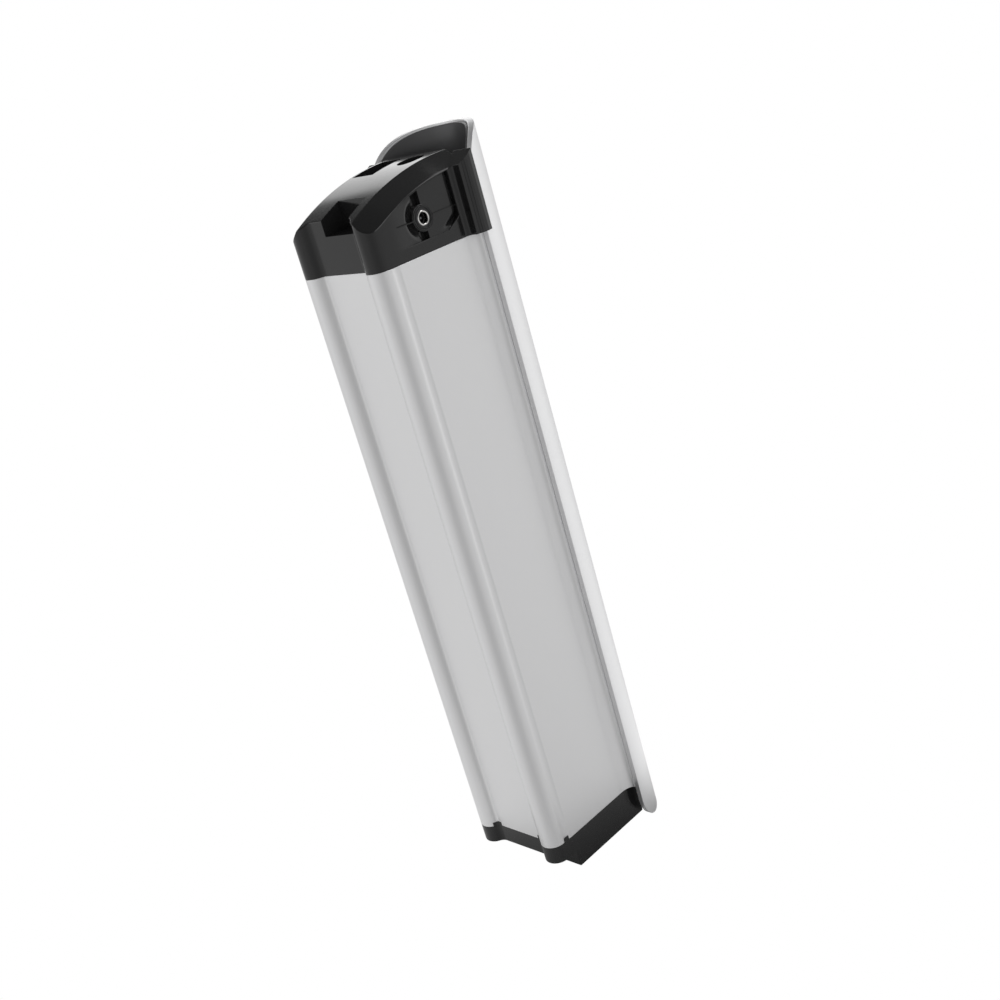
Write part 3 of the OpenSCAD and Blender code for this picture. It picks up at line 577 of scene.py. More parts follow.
cap = {
    "roofHeight": 50.7,
    "roofRadius": 168.0,
    "roofCrest": 75.0,
    "roofHalfWidth": 27.0,
    "slopeDrop": 9.3,
    "fillet": 6.0,
    "creaseSoftness": 0.5,
    "rimSoftness": 0.55,
    "rimSteps": 4,
    "footRings": ((0.3, 0.0), (0.1, 0.09), (0.0, 0.3)),   # rounded foot: inwards, and up
    "spreadFrom": 30.0,       # keeps the rear line's points clear of its corners
    "spread": 0.82,
    "rows": 66,
    "flatSteps": 5,           # columns on half of the flat front
    "leastStep": 0.04,
    "notch": (-7.8, 19.4, 16.6, 23.4),          # left, right, rear, floor
    "lockHole": (12.4, 62.0, 8.5, 33.7),        # x, y, radius, floor
    "slot": (-24.5, -4.5, 44.6, 70.6, 37.7),    # left, right, front, rear, floor
    "slotFinger": (-21.0, -16.0, 43.6, 51.1, 46.2),
    "fingerFoot": 2.0,                          # above the slot's floor
    "fingerCorner": 0.6,
    "fingerEdge": 0.3,
    "portBore": (6.3, 20.0, 45.0),              # radius, inner and outer end
    "cutTop": 70.0,                             # clear of the roof
    "cutFront": -20.0,
}


def roofAt(x, y):
    over = abs(x) - cap["roofHalfWidth"]
    soft = cap["creaseSoftness"]
    # the crease is a parabola between the crown and the straight slope
    run = 0.0 if over < -soft else over if over > soft else (over + soft) ** 2 / (4 * soft)
    radius = cap["roofRadius"]
    radius -= cap["slopeDrop"] * run / (pack["halfWidth"] - cap["roofHalfWidth"])
    return cap["roofHeight"] - cap["roofRadius"] + math.sqrt(radius ** 2 - (y - cap["roofCrest"]) ** 2)


# Front line of a cap's right half as (x, y), from the middle to the flat side.
def capFrontLine():
    half = halfSection(cap["fillet"], flange=False, valley=False)
    line = [point for point in half if point[1] <= sideCorner().y + 0.01]
    flat, count = line[0][0], cap["flatSteps"]
    line = [(flat * i / count, 0.0) for i in range(count)] + line
    # columns that follow the crease between the roof and its sloping side
    for k in (-2, -1, 0, 1, 2):
        x = cap["roofHalfWidth"] + cap["creaseSoftness"] * k / 2
        sunk = math.sqrt(section["railRadius"] ** 2 - (x - section["railX"]) ** 2)
        line.append((x, section["railY"] - sunk))
    line.sort()
    kept = [line[0]]
    for point in line[1:]:
        if point[0] - kept[-1][0] > cap["leastStep"]:
            kept.append(point)
    return kept


def makeCapBody():
    right = capFrontLine()
    front = mirrored(right[1:]) + right
    rows, last = cap["rows"], len(front) - 1

    def between(first, second, t):
        return (first[0] + (second[0] - first[0]) * t, first[1] + (second[1] - first[1]) * t)

    def spread(x):
        over = abs(x) - cap["spreadFrom"]
        if over < 0 or abs(x) > pack["halfWidth"] - 0.05:
            return x
        return math.copysign(cap["spreadFrom"] + over * cap["spread"], x)

    back = [(spread(x), pack["depth"]) for x, _ in front]
    outline = front + [between(front[-1], back[-1], j / rows) for j in range(1, rows)]
    outline += back[::-1] + [between(back[0], front[0], j / rows) for j in range(1, rows)]
    rings = [[(x, y, height) for x, y in movedIn(outline, inset)] for inset, height in cap["footRings"]]
    rings += [[(x, y, roofAt(x, y) - drop) for x, y in movedIn(outline, inset)]
              for inset, drop in quarterRound(cap["rimSoftness"], cap["rimSteps"])]
    points, faces = stackedRings(rings)
    # the roof's grid joins the innermost ring
    inner = len(points) - len(outline)
    grid = {place: inner + n for n, place in enumerate(gridBorder(last, rows))}
    for i in range(1, last):
        for j in range(1, rows):
            x, y = between(points[grid[i, 0]], points[grid[i, rows]], j / rows)
            grid[i, j] = len(points)
            points.append((x, y, roofAt(x, y)))
    return rawObject("capBody", points, faces + gridFaces(grid, last, rows))


# Pocket in the right side: its floor ramps in from the left, drops into a channel in front of
# the step, and has a moat along its rear wall; a dish goes round the boss.

pocket = {
    "left": 9.0,
    "low": 7.6,
    "corners": ((53.5, 7.6), (63.0, 12.6), (65.6, 15.0), (67.1, 18.0), (67.7, 21.0)),
    "socket": (37.0, 20.0),
    "step": 38.0,
    "ramp": (10.0, 33.0, 1.5),        # start, end, depth
    "channelDepth": 4.4,
    "channelWidth": 4.5,
    "channelEase": 1.5,
    "dish": (8.5, 14.2, 1.7),         # inner and outer radius, depth
    "blockDepth": 0.7,
    "moat": (0.5, 7.0, 3.6),          # full depth up to here, then faded out up to here; depth
    "moatTaper": 1.7,                 # how much narrower it is along the slanted edge
    "moatFoot": 7.0,
    "leastDepth": 0.02,
    "lip": 0.45,
    "lipFrom": 0.8,                   # depth from which the lip is whole
    "outside": 1.5,
    "ribWidth": 0.55,
    "ribs": ((15.0, 29.8, 0.3, 1.6), (44.5, 67.5, 0.2, 1.3)),   # start, end, crest, groove
    "groove": (0.6, 0.5, 0.05),       # shorter than its rib at each end, width, overlap
    "rows": 44,
    "columnSteps": (0.8, 0.35, 0.6),  # in front, near the step, behind it
    "nearStep": 29.0,
    "underRim": 1.0,
}


def smooth(value, low, high):
    t = max(0.0, min(1.0, (value - low) / (high - low)))
    return t * t * (3 - 2 * t)


def pocketLow(y):
    corners = pocket["corners"]
    for (y1, z1), (y2, z2) in zip(corners, corners[1:]):
        if y <= y2:
            return z1 + (z2 - z1) * max(0.0, y - y1) / (y2 - y1)
    return corners[-1][1]


# Depth of the pocket's floor under the cap's side, in front of the step or behind it.
def pocketDepth(y, z, behind):
    if not behind:
        rampStart, rampEnd, rampDepth = pocket["ramp"]
        depth = rampDepth * smooth(y, rampStart, rampEnd)
        channel, ease = pocket["step"] - pocket["channelWidth"], pocket["channelEase"]
        depth += (pocket["channelDepth"] - depth) * smooth(y, channel - ease, channel + ease)
        fromSocket = math.hypot(y - pocket["socket"][0], z - pocket["socket"][1])
        dishInner, dishOuter, dishDepth = pocket["dish"]
        dish = dishDepth * (1 - smooth(fromSocket, dishInner, dishOuter))
        return min(pocket["channelDepth"], depth + dish)
    corners = pocket["corners"]
    edge = corners[-1][0] - y         # distance from the pocket's rear edge
    for (y1, z1), (y2, z2) in zip(corners, corners[1:]):
        along, across = y2 - y1, z2 - z1
        length = math.hypot(along, across)
        away = ((z - z1) * along - (y - y1) * across) / length
        edge = min(edge, away * (1 + (pocket["moatTaper"] - 1) * along / length))
    full, faded, moatDepth = pocket["moat"]
    moat = moatDepth * (1 - smooth(max(0.0, edge), full, faded))
    return pocket["blockDepth"] + moat * smooth(z, pocket["low"], pocket["low"] + pocket["moatFoot"])


# Columns of the pocket's floor as (y, whether behind the step).
def pocketColumns():
    coarse, fine, rearStep = pocket["columnSteps"]
    step, rear = pocket["step"], pocket["corners"][-1][0]
    columns, y = [], pocket["left"]
    while y < step - 0.03:
        columns.append((y, False))
        y += fine if y > pocket["nearStep"] else coarse
    columns += [(step - 0.02, False), (step + 0.02, True)]
    y = step + 0.4
    while y < rear - 0.1:
        columns.append((y, True))
        y += rearStep
    return columns + [(rear, True)]


# Solid that the pocket is cut with: its floor as a grid, then a rounded lip round the border.
def pocketCutter():
    columns, rows = pocketColumns(), pocket["rows"]
    side = pack["halfWidth"]
    points, grid, depths = [], {}, {}
    for i, (y, behind) in enumerate(columns):
        low = pocketLow(y)
        high = roofAt(side, y) - pocket["underRim"]
        for j in range(rows + 1):
            z = low + (high - low) * j / rows
            depths[i, j] = max(pocket["leastDepth"], pocketDepth(y, z, behind))
            grid[i, j] = len(points)
            points.append((side - depths[i, j], y, z))
    faces = gridFaces(grid, len(columns) - 1, rows)
    border = gridBorder(len(columns) - 1, rows)
    outline = [points[grid[key]][1:] for key in border]
    inward = movedIn(outline, 1.0)
    lower = [grid[key] for key in border]
    for turn, outside in ((0, 0.0), (30, 0.0), (60, 0.0), (90, 0.0), (90, pocket["outside"])):
        angle = math.radians(turn)
        upper = range(len(points), len(points) + len(border))
        for key, (y, z), (inY, inZ) in zip(border, outline, inward):
            size = pocket["lip"] * min(1.0, depths[key] / pocket["lipFrom"])
            out = size * (1 - math.cos(angle))
            x = side - size * (1 - math.sin(angle)) + outside
            points.append((x, y + (y - inY) * out, z + (z - inZ) * out))
        faces += bandFaces(lower, upper)
        lower = upper
    faces.append(tuple(lower))
    return rawObject("pocketCutter", points, faces)


boss = {
    "sunk": 0.5,              # face under the cap's side
    "back": 6.0,
    # radius and depth under the face, with two fine rings turned into it
    "turned": ((8.0, 0.6), (7.92, 0.3), (7.75, 0.08), (7.55, 0.0), (7.4, 0.0), (7.3, 0.1),
               (7.28, 0.5), (6.98, 0.5), (6.96, 0.1), (6.86, 0.0), (6.5, 0.0), (6.4, 0.06),
               (6.35, 0.15), (6.35, 2.0), (5.3, 2.0)),
}


# Boss that holds the socket, and the ribs beside it.
def bossParts():
    side, level, half = pack["halfWidth"], pocket["socket"][1], pocket["ribWidth"] / 2
    face, back = side - boss["sunk"], side - boss["back"]
    profile = [(radius, face - depth) for radius, depth in boss["turned"]]
    profile = [(profile[0][0], back)] + profile + [(profile[-1][0], back)]
    ribs = [boxObject("rib", back, side - crest, start, end, level - half, level + half)
            for start, end, crest, _ in pocket["ribs"]]
    return [latheObject("boss", profile, pocket["socket"])] + ribs


# Fine groove along the upper side of each rib.
def ribGrooves():
    low = pocket["socket"][1] + pocket["ribWidth"] / 2
    shorter, width, overlap = pocket["groove"]
    return [boxObject("ribGroove", pack["halfWidth"] - depth, pack["halfWidth"] + 1,
                      start + shorter, end - shorter, low - overlap, low + width)
            for start, end, _, depth in pocket["ribs"]]


# Ears: blocks beside the plate's front edges, stepped outwards behind a rounded cove.

ear = {
    "outer": 48.75,
    "inner": 33.0,            # inside the body
    "front": 67.6,
    "rear": 79.3,
    "steps": ((2.3, 0.0), (1.9, 2.3), (1.5, 2.3), (0.8, 3.8), (0.4, 3.8), (0.0, 5.7),
              (0.0, 8.3)),    # inwards from the outer face, behind the front
    "rearTaper": 0.8,
    "height": 49.0,
    "fall": 30.0,             # degrees
    "cove": 3.5,
    "overlap": 0.05,
    "softness": 0.3,
}


def earObject(side):
    outer, inner, front, rear = ear["outer"], ear["inner"], ear["front"], ear["rear"]
    cove, soft = ear["cove"], ear["softness"]
    middle = pack["halfWidth"] - ear["overlap"] + cove
    corners = [(middle, front)] + [(outer - inwards, front + back) for inwards, back in ear["steps"]]
    corners += [(outer - ear["rearTaper"], rear), (inner, rear)]
    outline = [(inner, rear), (inner, front - cove)]
    outline += arcPoints((middle, front - cove), cove, 180, 90, 8)
    outline += [point for arc in cornerArcs(corners, soft)[1:-1] for point in arc]
    if side < 0:
        outline = mirrored(outline)
    fall = math.tan(math.radians(ear["fall"]))
    rings = [[(x, y, 0.0) for x, y in outline]]
    rings += [[(x, y, ear["height"] - (rear - y) * fall - drop) for x, y in movedIn(outline, inset)]
              for inset, drop in quarterRound(soft, 4)]
    points, faces = stackedRings(rings)
    top = tuple(range(len(points) - len(outline), len(points)))
    return rawObject("ear", points, faces + [top])


# Lining of the plate's upper end, and the floor of the trough behind the roof.

lining = {
    "outer": 44.7,
    "thickness": 1.5,
    "front": 78.5,
    "drop": 1.2,              # below the plate's rim
    "edgeSoftness": 0.25,
    "straightRows": (0, 10, 20, 30),
    "cornerSteps": 36,
    "floorHeight": 3.0,
    "floorInside": 0.5,
    "floorEdge": 0.05,
}


def liningParts():
    front, corner = lining["front"], plate["topCorner"]
    low, high = pack["housingLength"], plate["top"] - lining["drop"]
    middle = (plate["edge"] + corner, high - corner)
    start = math.degrees(math.acos((front - middle[0]) / corner))
    straight = [(front, low + height) for height in lining["straightRows"]]
    arc = arcPoints(middle, corner, start, 90, lining["cornerSteps"])
    arc = arc[:-2] + arc[-1:]         # a single row closes over the middle
    normals = [(-1.0, -1.0)] + [(-1.0, 0.0)] * (len(straight) - 1)
    normals += [((y - middle[0]) / corner, (z - middle[1]) / corner) for y, z in arc]
    shell = curvedSheet("lining", straight + arc, normals, lining["outer"], lining["thickness"],
                        lining["edgeSoftness"])
    axis, reach = (0.0, pack["plateAxis"]), lining["outer"] - lining["floorInside"]
    half = math.degrees(math.acos((front - axis[1]) / reach))
    outline = arcPoints(axis, reach, 90 - half, 90 + half, 60)
    return [shell, prismObject("troughFloor", outline, low, low + lining["floorHeight"],
                               lining["floorEdge"])]


def raised(thing, height):
    for vertex in thing.data.vertices:
        vertex.co.z += height / 1000
    return thing


def makeTopCap():
    body, above = makeCapBody(), cap["cutTop"]
    left, right, rear, floor = cap["notch"]
    x, y, radius, bottom = cap["lockHole"]
    *slotSides, slotFloor = cap["slot"]
    bore, inner, outer = cap["portBore"]
    cuts = [boxObject("notch", left, right, cap["cutFront"], rear, floor, above),
            columnObject("lockHole", (x, y), radius, bottom, above),
            boxObject("slot", *slotSides, slotFloor, above),
            latheObject("portBore", [(axisGap, inner), (bore, inner), (bore, outer), (axisGap, outer)],
                        pocket["socket"], 64)]
    for cutter in cuts + [pocketCutter()] + ribGrooves():
        cutAway(body, cutter)
    *fingerSides, fingerTop = cap["slotFinger"]
    finger = prismObject("finger", roundedOutline(rectangle(*fingerSides), cap["fingerCorner"]),
                         slotFloor + cap["fingerFoot"], fingerTop, cap["fingerEdge"])
    parts = [body, earObject(1), earObject(-1)] + bossParts() + [finger]
    for part in parts:
        raised(part, pack["housingLength"])
    handOver(joined("topCapShell", parts), "glossBlack", "top_cap", sharpAngle=32)
    handOver(joined("rearLiningShell", liningParts()), "liningBlack", "top_cap")


makeTopCap()


# Charging socket's body, turned about its own line through the boss.

port = {
    "face": 38.75,
    "back": 19.25,
    "flange": 6.15,
    "flangeDepth": 2.0,
    "barrel": 5.2,
    "groove": (5.35, 5.75, 0.4),                # inner and outer radius, depth
    "ringSeat": (4.4, 3.0),                     # radius, depth
    "bore": (3.2, 11.0),
    "edge": 0.25,
    "lips": 0.1,                                # along both sides of the groove
}


def makePort():
    face, flange, barrel, back = port["face"], port["flange"], port["barrel"], port["back"]
    edge, lip, underFlange = port["edge"], port["lips"], face - port["flangeDepth"]
    inner, outer, sunk = port["groove"]
    seat, seatDepth = port["ringSeat"]
    bore, boreDepth = port["bore"]
    profile = [(axisGap, back), (barrel, back), (barrel, underFlange), (flange, underFlange),
               (flange, face - edge), (flange - 0.08, face - 0.07), (flange - edge, face),
               (outer + lip, face), (outer, face - lip), (outer, face - sunk),
               (inner, face - sunk), (inner, face - lip), (inner - lip, face), (seat, face),
               (seat, face - seatDepth), (bore, face - seatDepth), (bore, face - boreDepth),
               (axisGap, face - boreDepth)]
    body = raised(latheObject("portBodyShell", profile, pocket["socket"]), pack["housingLength"])
    handOver(body, "satinBlack", "charge_port_body", sharpAngle=35)


makePort()


# Bottom cap: a skirt under the section's outline, a block behind it and keys above it.

base = {
    "skirtHeight": 12.7,
    "blockHeight": 24.6,
    "blockFront": 12.0,
    "blockBack": 80.6,
    "blockCorner": 1.2,
    "blockTop": -0.02,        # just under the skirt's top
    "rimSoftness": 0.6,
    "topSoftness": 0.3,
    "sideInside": 0.004,      # keeps the skirt's sides off the block's
    "keyHeight": 3.0,
    "keyFoot": -0.5,
    "keyGap": 0.1,            # to the housing's valley and flat side
    "cornerKey": (6.5, 0.12),                   # from the rail's middle, gap to the fillet
    "cutFoot": -40.0,         # clear of the underside
    "outletRoof": -3.0,
    "outlet": (40.0, 18.0, 45.25),              # width, depth, middle
    "railScrew": (29.75, 3.2, -9.7),            # x, y, seat of the head
    "rearScrew": (34.2, 73.6, -8.0),
    "headRoom": 3.6,
}


# Keys that stand up from the skirt into the housing's outer corners: one between the front
# panel's fillet and the cap's wider one, one in the valley beside the rail.
def keyOutlines():
    rail, radius = (section["railX"], section["railY"]), section["railRadius"]
    reach, gap = base["cornerKey"]

    def onFillet(line):
        return [(x, y) for x, y in line if y <= 0.001 and x < rail[0] - reach
                and math.hypot(x - rail[0], y - rail[1]) > radius - 0.01]

    narrow = [(x - gap / 2, y - gap) for x, y in onFillet(halfSection(section["panelFillet"]))]
    corner = onFillet(halfSection(cap["fillet"])) + narrow[::-1]
    hollow = touchCircle(Vector(rail), radius, sideCorner(), section["cornerRadius"],
                         section["valleyRadius"])
    bend, edge = section["valleyRadius"] - base["keyGap"], pack["halfWidth"] - base["keyGap"]
    half = math.degrees(math.acos(max(-1.0, (hollow.x - edge) / bend)))
    valley = [(x, y) for x, y in arcPoints(hollow, bend, 180 - half, 180 + half, 10)
              if rail[1] + 1 < y < section["sideStart"] + 1]
    return corner, [(edge, valley[-1][1]), (edge, valley[0][1])] + valley


def makeBottomCap():
    half, limit = pack["halfWidth"], pack["halfWidth"] - base["sideInside"]
    soft, foot = base["rimSoftness"], base["cutFoot"]
    line = halfSection(cap["fillet"], flange=False, valley=False)
    outline = [(max(-1, min(1, x / limit)) * limit, y) for x, y in line + mirrored(line)]
    skirt = prismObject("skirt", outline, -base["skirtHeight"], 0.0, soft,
                        softTop=base["topSoftness"])
    outline = roundedOutline(rectangle(-half, half, base["blockFront"], base["blockBack"]),
                             base["blockCorner"], 6)
    block = prismObject("block", outline, -base["blockHeight"], base["blockTop"], soft,
                        softTop=-base["blockTop"])
    keys = [prismObject("key", line, base["keyFoot"], base["keyHeight"], 0.05)
            for outline in keyOutlines() for line in (outline, mirrored(outline))]
    for side in (1, -1):
        for part, (x, y, seat) in ((skirt, base["railScrew"]), (block, base["rearScrew"])):
            cutAway(part, columnObject("head", (side * x, y), base["headRoom"], foot, seat, 48))
    width, depth, middle = base["outlet"]
    cutAway(block, boxObject("outlet", -width / 2, width / 2, middle - depth / 2,
                             middle + depth / 2, foot, base["outletRoof"]))
    shell = joined("bottomCapShell", [skirt, block] + keys)
    handOver(shell, "glossBlack", "bottom_cap", sharpAngle=32)


makeBottomCap()


# What repeats is set out by one node group: a source object at each point, turned by the
# point's own angle.

def repeatGroup():
    group = bpy.data.node_groups.new("repeatOnPoints", "GeometryNodeTree")
    face = group.interface
    face.new_socket(name="Geometry", in_out="OUTPUT", socket_type="NodeSocketGeometry")
    face.new_socket(name="Geometry", in_out="INPUT", socket_type="NodeSocketGeometry")
    sockets = {name: face.new_socket(name=name, in_out="INPUT", socket_type="NodeSocket" + kind)
               for name, kind in (("Source", "Object"), ("Size", "Float"), ("Finish", "Material"))}
    nodes = group.nodes
    start, end = nodes.new("NodeGroupInput"), nodes.new("NodeGroupOutput")
    source = nodes.new("GeometryNodeObjectInfo")
    turn = nodes.new("GeometryNodeInputNamedAttribute")
    turn.data_type = "FLOAT"
    turn.inputs["Name"].default_value = "turn"
    spin = nodes.new("ShaderNodeCombineXYZ")
    place = nodes.new("GeometryNodeInstanceOnPoints")
    real = nodes.new("GeometryNodeRealizeInstances")
    paint = nodes.new("GeometryNodeSetMaterial")
    for giver, output, taker, socket in (
            (start, "Source", source, "Object"), (turn, "Attribute", spin, "Z"),
            (start, "Geometry", place, "Points"), (source, "Geometry", place, "Instance"),
            (spin, "Vector", place, "Rotation"), (start, "Size", place, "Scale"),
            (place, "Instances", real, "Geometry"), (real, "Geometry", paint, "Geometry"),
            (start, "Finish", paint, "Material"), (paint, "Geometry", end, "Geometry")):
        group.links.new(giver.outputs[output], taker.inputs[socket])
    return group, {name: socket.identifier for name, socket in sockets.items()}


repeater, repeaterSockets = repeatGroup()


# places holds (x, y, z, turn in degrees); the source is modelled about the origin in mm.
def repeated(name, source, places, finish, replaced):
    mesh = bpy.data.meshes.new(name)
    mesh.from_pydata([toFrame(*place[:3]) for place in places], [], [])
    turns = mesh.attributes.new("turn", "FLOAT", "POINT")
    for i, place in enumerate(places):
        turns.data[i].value = math.radians(place[3])
    piece = linked(name, mesh)
    repeat = piece.modifiers.new("repeat", "NODES")
    repeat.node_group = repeater
    for socket, value in (("Source", source), ("Size", 1.0), ("Finish", finishes[finish])):
        repeat[repeaterSockets[socket]] = value
    applyModifiers(piece)
    bpy.data.objects.remove(source)
    leftOver = piece.data.attributes.get("turn")
    if leftOver:
        piece.data.attributes.remove(leftOver)
    handOver(piece, finish, replaced, sharpAngle=35)


# Source object about the origin: toFrame() would move it, so its points are moved back.
def atOrigin(thing):
    shift = Vector(toFrame(0, 0, 0))
    for vertex in thing.data.vertices:
        vertex.co -= shift
    return thing


# Cells: lying across the housing in rows of three, every other group turned round.

cell = {
    "radius": 9.1,
    "length": 65.0,
    "capRadius": 3.2,
    "capHeight": 1.2,
    "wrapLip": 0.5,
    "crimpDepth": 0.35,
    "crimpAt": 3.4,           # from the shoulder
    "insulatorDepth": 0.5,
    "pitch": 19.0,
    "columns": 3,
    "count": 52,
    "group": 4,
    "first": (22.0, 31.5),    # y and z of the lowest front cell
}


def makeCells():
    radius, half, button = cell["radius"], cell["length"] / 2, cell["capRadius"]
    shoulder = half - cell["capHeight"]
    crimp, waist = shoulder - cell["crimpAt"], radius - cell["crimpDepth"]
    wrapEnd, insulator = radius - 0.6 - cell["wrapLip"], shoulder - cell["insulatorDepth"]
    profile = [(axisGap, -half), (radius - 1.4, -half), (radius - 0.5, -half + 0.1),
               (radius - 0.1, -half + 0.35), (radius, -half + 0.8), (radius, crimp - 1.0),
               (waist, crimp - 0.3), (waist, crimp + 0.3), (radius, crimp + 1.0),
               (radius, shoulder - 0.6), (radius - 0.25, shoulder - 0.1), (radius - 0.6, shoulder),
               (wrapEnd, shoulder), (wrapEnd - 0.2, insulator), (button + 0.8, insulator),
               (button + 0.1, half - 0.5), (button - 0.2, half - 0.1), (button - 0.5, half),
               (axisGap, half)]
    source = atOrigin(latheObject("cellSource", profile, (0.0, 0.0), 48))
    (front, low), pitch = cell["first"], cell["pitch"]
    places = []
    for n in range(cell["count"]):
        row, column = divmod(n, cell["columns"])
        if row % 2:
            column = cell["columns"] - 1 - column
        turned = 180 if (n // cell["group"]) % 2 else 0
        places.append((0.0, front + column * pitch, low + row * pitch, turned))
    repeated("cellsShell", source, places, "cellWrap", "cells")


makeCells()


# Screws: three through the top cap's rear wall, four up into the housing from below.

screw = {
    "headRadius": 3.2,
    "headHeight": 2.2,
    "socketRadius": 1.3,
    "socketDepth": 1.2,
    "threadDepth": 0.18,
    "threadPitch": 0.7,
    "rear": (9.0, 1.35),      # length, shank's radius
    "rearPlaces": (-22, 0, 22),
    "rearDrop": 5.0,          # below the housing's end
    "under": (20.0, 1.6),
}


# Pan-head screw along X with its head at +X, seated at x = 0, and a hexagon socket.
def screwSource(name, length, shank):
    head, high = screw["headRadius"], screw["headHeight"]
    profile = [(axisGap, -length), (shank - 0.4, -length), (shank - 0.1, -length + 0.5)]
    x = -length + 0.8
    while x < -1.5:
        profile += [(shank, x), (shank - screw["threadDepth"], x + screw["threadPitch"] / 2)]
        x += screw["threadPitch"]
    profile += [(shank, -1.0), (shank, 0.0), (head, 0.0), (head, high - 1.1),
                (head - 0.12, high - 0.7), (head - 0.5, high - 0.3), (head - 1.1, high),
                (axisGap, high)]
    thing = latheObject(name, profile, (0.0, 0.0), 40)
    corners = arcPoints((0, 0), screw["socketRadius"], 0, 300, 5)
    depth = high - screw["socketDepth"]
    points = [(x, y, z) for x in (depth, high + 1) for y, z in corners]
    faces = [tuple(range(6)), tuple(range(6, 12))] + bandFaces(range(6), range(6, 12))
    cutAway(thing, rawObject("hexagon", points, faces))
    return thing


# The source's long axis is brought from X to the given direction.
def pointedAt(thing, direction):
    atOrigin(thing)
    turn = Vector((1, 0, 0)).rotation_difference(Vector(direction)).to_matrix()
    for vertex in thing.data.vertices:
        vertex.co = turn @ vertex.co
    return thing


def makeScrews():
    level = pack["housingLength"] - screw["rearDrop"]
    rear = pointedAt(screwSource("rearSource", *screw["rear"]), (0, 1, 0))
    places = [(x, pack["depth"], level, 0) for x in screw["rearPlaces"]]
    repeated("topScrewsShell", rear, places, "zincPlate", "top_cap_screws")
    under = pointedAt(screwSource("underSource", *screw["under"]), (0, 0, -1))
    places = [(side * x, y, seat, 0) for x, y, seat in (base["railScrew"], base["rearScrew"])
              for side in (-1, 1)]
    repeated("bottomScrewsShell", under, places, "zincPlate", "bottom_cap_screws")


makeScrews()


# Studio: pale floor, white surroundings and large soft lamps.

studio = {
    "floorSize": 12.0,
    "floorShade": 0.92,
    "paperChange": 0.01,
    "skyStrength": 0.5,       # light from all round on dull surfaces
    "ceiling": (0.02, 0.6, 0.18),    # heights where it starts and is whole, and its shade
    "contact": (0.05, 0.11, 0.35),   # floor's painted reflection, with painted shade close to the pack: start, end and that shade
    "lens": 48.66,
    "sensor": 36,
    "cameraPlace": (0.6483, -0.531055, 0.55361),
    "cameraTurn": (69.6805, 15.2142, 44.5136),
    # what gloss sees round the room: degrees from +X towards +Y, and how light it is there
    "room": ((-180, 0.69), (-141, 0.73), (-90, 0.64), (-58, 0.48), (-39, 0.42), (-20, 0.48),
             (0, 0.58), (39, 0.62), (65, 0.95), (85, 1.0), (110, 0.75), (140, 0.5),
             (180, 0.66)),
}


def mathOf(tree, operation, first, second):
    return addNode(tree, "Math", {0: first, 1: second}, operation=operation).outputs["Value"]


# Shade of the room in the direction of a vector, and the vector's height.
def roomShade(tree, vector):
    parts = addNode(tree, "SeparateXYZ", {"Vector": vector}).outputs
    turn = mathOf(tree, "ARCTAN2", parts["Y"], parts["X"])
    ramp = addNode(tree, "ValToRGB", {"Fac": remap(tree, turn, -math.pi, math.pi, 0.0, 1.0)})
    ramp.color_ramp.interpolation = "EASE"
    stops = ramp.color_ramp.elements
    for i, (degrees, shade) in enumerate(studio["room"]):
        at = (degrees + 180) / 360
        stop = stops[i] if i < 2 else stops.new(at)
        stop.position = at
        stop.color = (shade, shade, shade, 1)
    return ramp.outputs["Color"], parts["Z"]


def mixShaders(tree, fac, first, second):
    return addNode(tree, "MixShader", {"Fac": fac, 1: first, 2: second}).outputs["Shader"]


# Paper floor: white to the camera; in gloss it glows with a painted reflection of the room's shades,
# with painted shade close to the pack.
def makeFloor():
    half, shade, change = studio["floorSize"] / 2, studio["floorShade"], studio["paperChange"]
    mesh = bpy.data.meshes.new("floor")
    mesh.from_pydata([(x, y, 0) for x, y in rectangle(-half, half, -half, half)], [],
                     [(0, 1, 2, 3)])
    floor = linked("floor", mesh)
    material, tree, shader = newMaterial("floorPaper", (shade,) * 3, 0, 0.9)
    paper = noiseAt(tree, objectCoords(tree), 40)
    tree.links.new(mixColors(tree, paper, (shade - change,) * 3, (shade + change,) * 3),
                   shader.inputs["Base Color"])
    coords = objectCoords(tree)
    room, _ = roomShade(tree, coords)
    away = addNode(tree, "VectorMath", {0: coords}, operation="LENGTH").outputs["Value"]
    start, end, paintedShadeNearPack = studio["contact"]
    # painted shade: the floor's painted reflection is darker close to the pack
    near = remap(tree, away, start, end, paintedShadeNearPack, 1.0)
    # painted reflection: the floor glows with the room's shades, seen only in gloss
    paintedReflection = addNode(tree, "Emission", {"Color": room, "Strength": near})
    white = addNode(tree, "Emission", {"Color": (1, 1, 1, 1)})
    path = addNode(tree, "LightPath", {}).outputs
    plain = mixShaders(tree, path["Is Glossy Ray"], shader.outputs["BSDF"],
                       paintedReflection.outputs["Emission"])
    seen = mixShaders(tree, path["Is Camera Ray"], plain, white.outputs["Emission"])
    output = next(node for node in tree.nodes if node.type == "OUTPUT_MATERIAL")
    tree.links.new(seen, output.inputs["Surface"])
    mesh.materials.append(material)


def background(tree, color, strength):
    return addNode(tree, "Background", {"Color": color, "Strength": strength}).outputs["Background"]


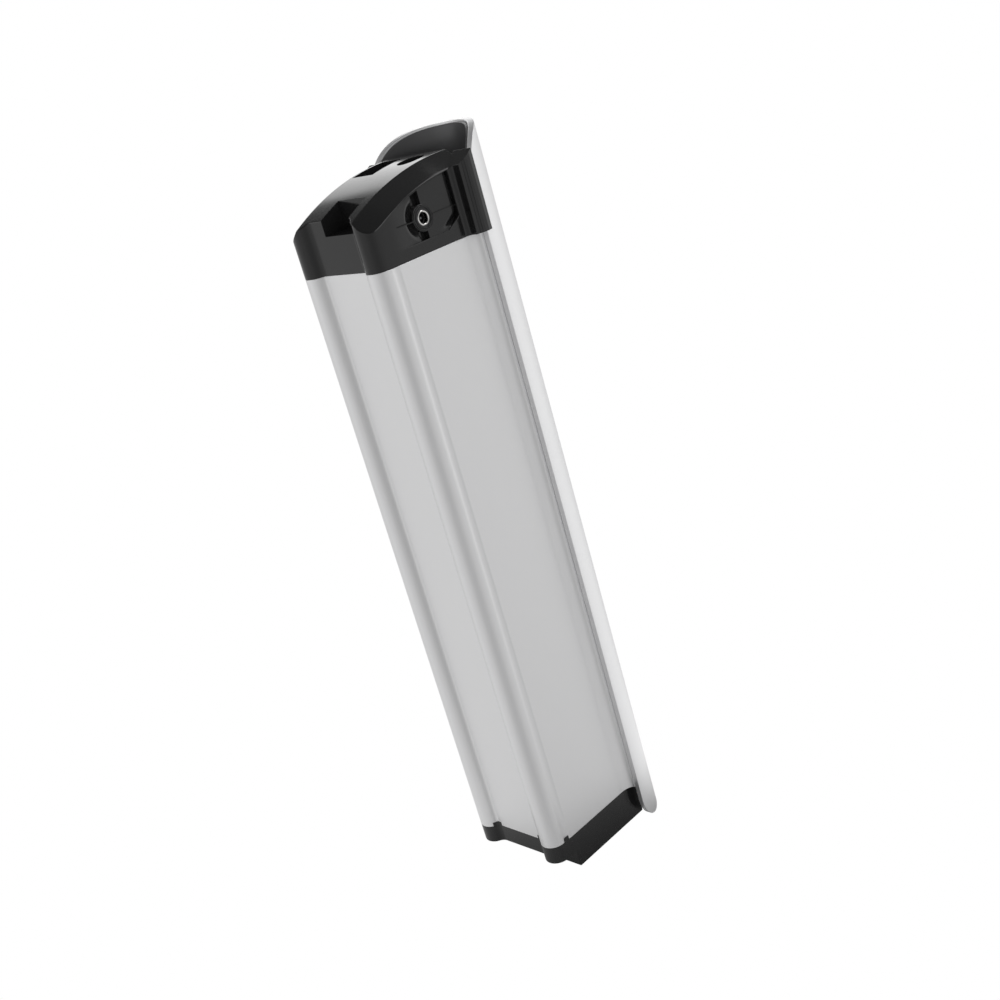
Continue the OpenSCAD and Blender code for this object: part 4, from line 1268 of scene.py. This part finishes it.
# Even light on dull surfaces; gloss sees the room's shades under a darker ceiling.
def makeSky():
    world = bpy.data.worlds.new("studioSky")
    world.use_nodes = True
    tree = world.node_tree
    tree.nodes.clear()
    shade, height = roomShade(tree, addNode(tree, "TexCoord", {}).outputs["Generated"])
    foot, top, topShade = studio["ceiling"]
    dull = background(tree, (1, 1, 1, 1), studio["skyStrength"])
    white = background(tree, (1, 1, 1, 1), 1.0)
    room = background(tree, shade, remap(tree, height, foot, top, 1.0, topShade))
    path = addNode(tree, "LightPath", {}).outputs
    lit = mixShaders(tree, path["Is Glossy Ray"], dull, room)
    seen = mathOf(tree, "MAXIMUM", path["Is Camera Ray"], path["Is Transmission Ray"])
    addNode(tree, "OutputWorld", {"Surface": mixShaders(tree, seen, lit, white)})
    bpy.context.scene.world = world


def softLamp(name, place, aim, size, power):
    data = bpy.data.lights.new(name, "AREA")
    data.shape = "RECTANGLE"
    data.size, data.size_y = size
    data.energy = power
    lamp = linked(name, data)
    lamp.location = place
    lamp.rotation_euler = (Vector(aim) - Vector(place)).to_track_quat("-Z", "Y").to_euler()
    lamp.visible_camera = False


# place, aim, size in metres and power in watts
lamps = {
    "keyLamp": ((1.9, 0.3, 1.6), (0, 0, 0.25), (1.2, 1.2), 8),
    "topLamp": ((0.9, 1.6, 2.3), (0, 0, 0.4), (1.5, 1.5), 12),
    "fillLamp": ((-1.4, -1.6, 1.3), (0, 0, 0.25), (1.5, 1.5), 6),
    "backLamp": ((-1.3, 1.05, 0.97), (0, 0, 0.45), (1.4, 0.68), 3.85),
}

makeFloor()
makeSky()
for lampName, spec in lamps.items():
    softLamp(lampName, *spec)

camera = linked("camera", bpy.data.cameras.new("camera"))
camera.data.sensor_width = studio["sensor"]
camera.data.lens = studio["lens"]
camera.location = studio["cameraPlace"]
camera.rotation_euler = tuple(math.radians(a) for a in studio["cameraTurn"])
camera.data.clip_start = 0.01
bpy.context.scene.camera = camera
bpy.context.scene.view_settings.view_transform = "Standard"
print("studio made")
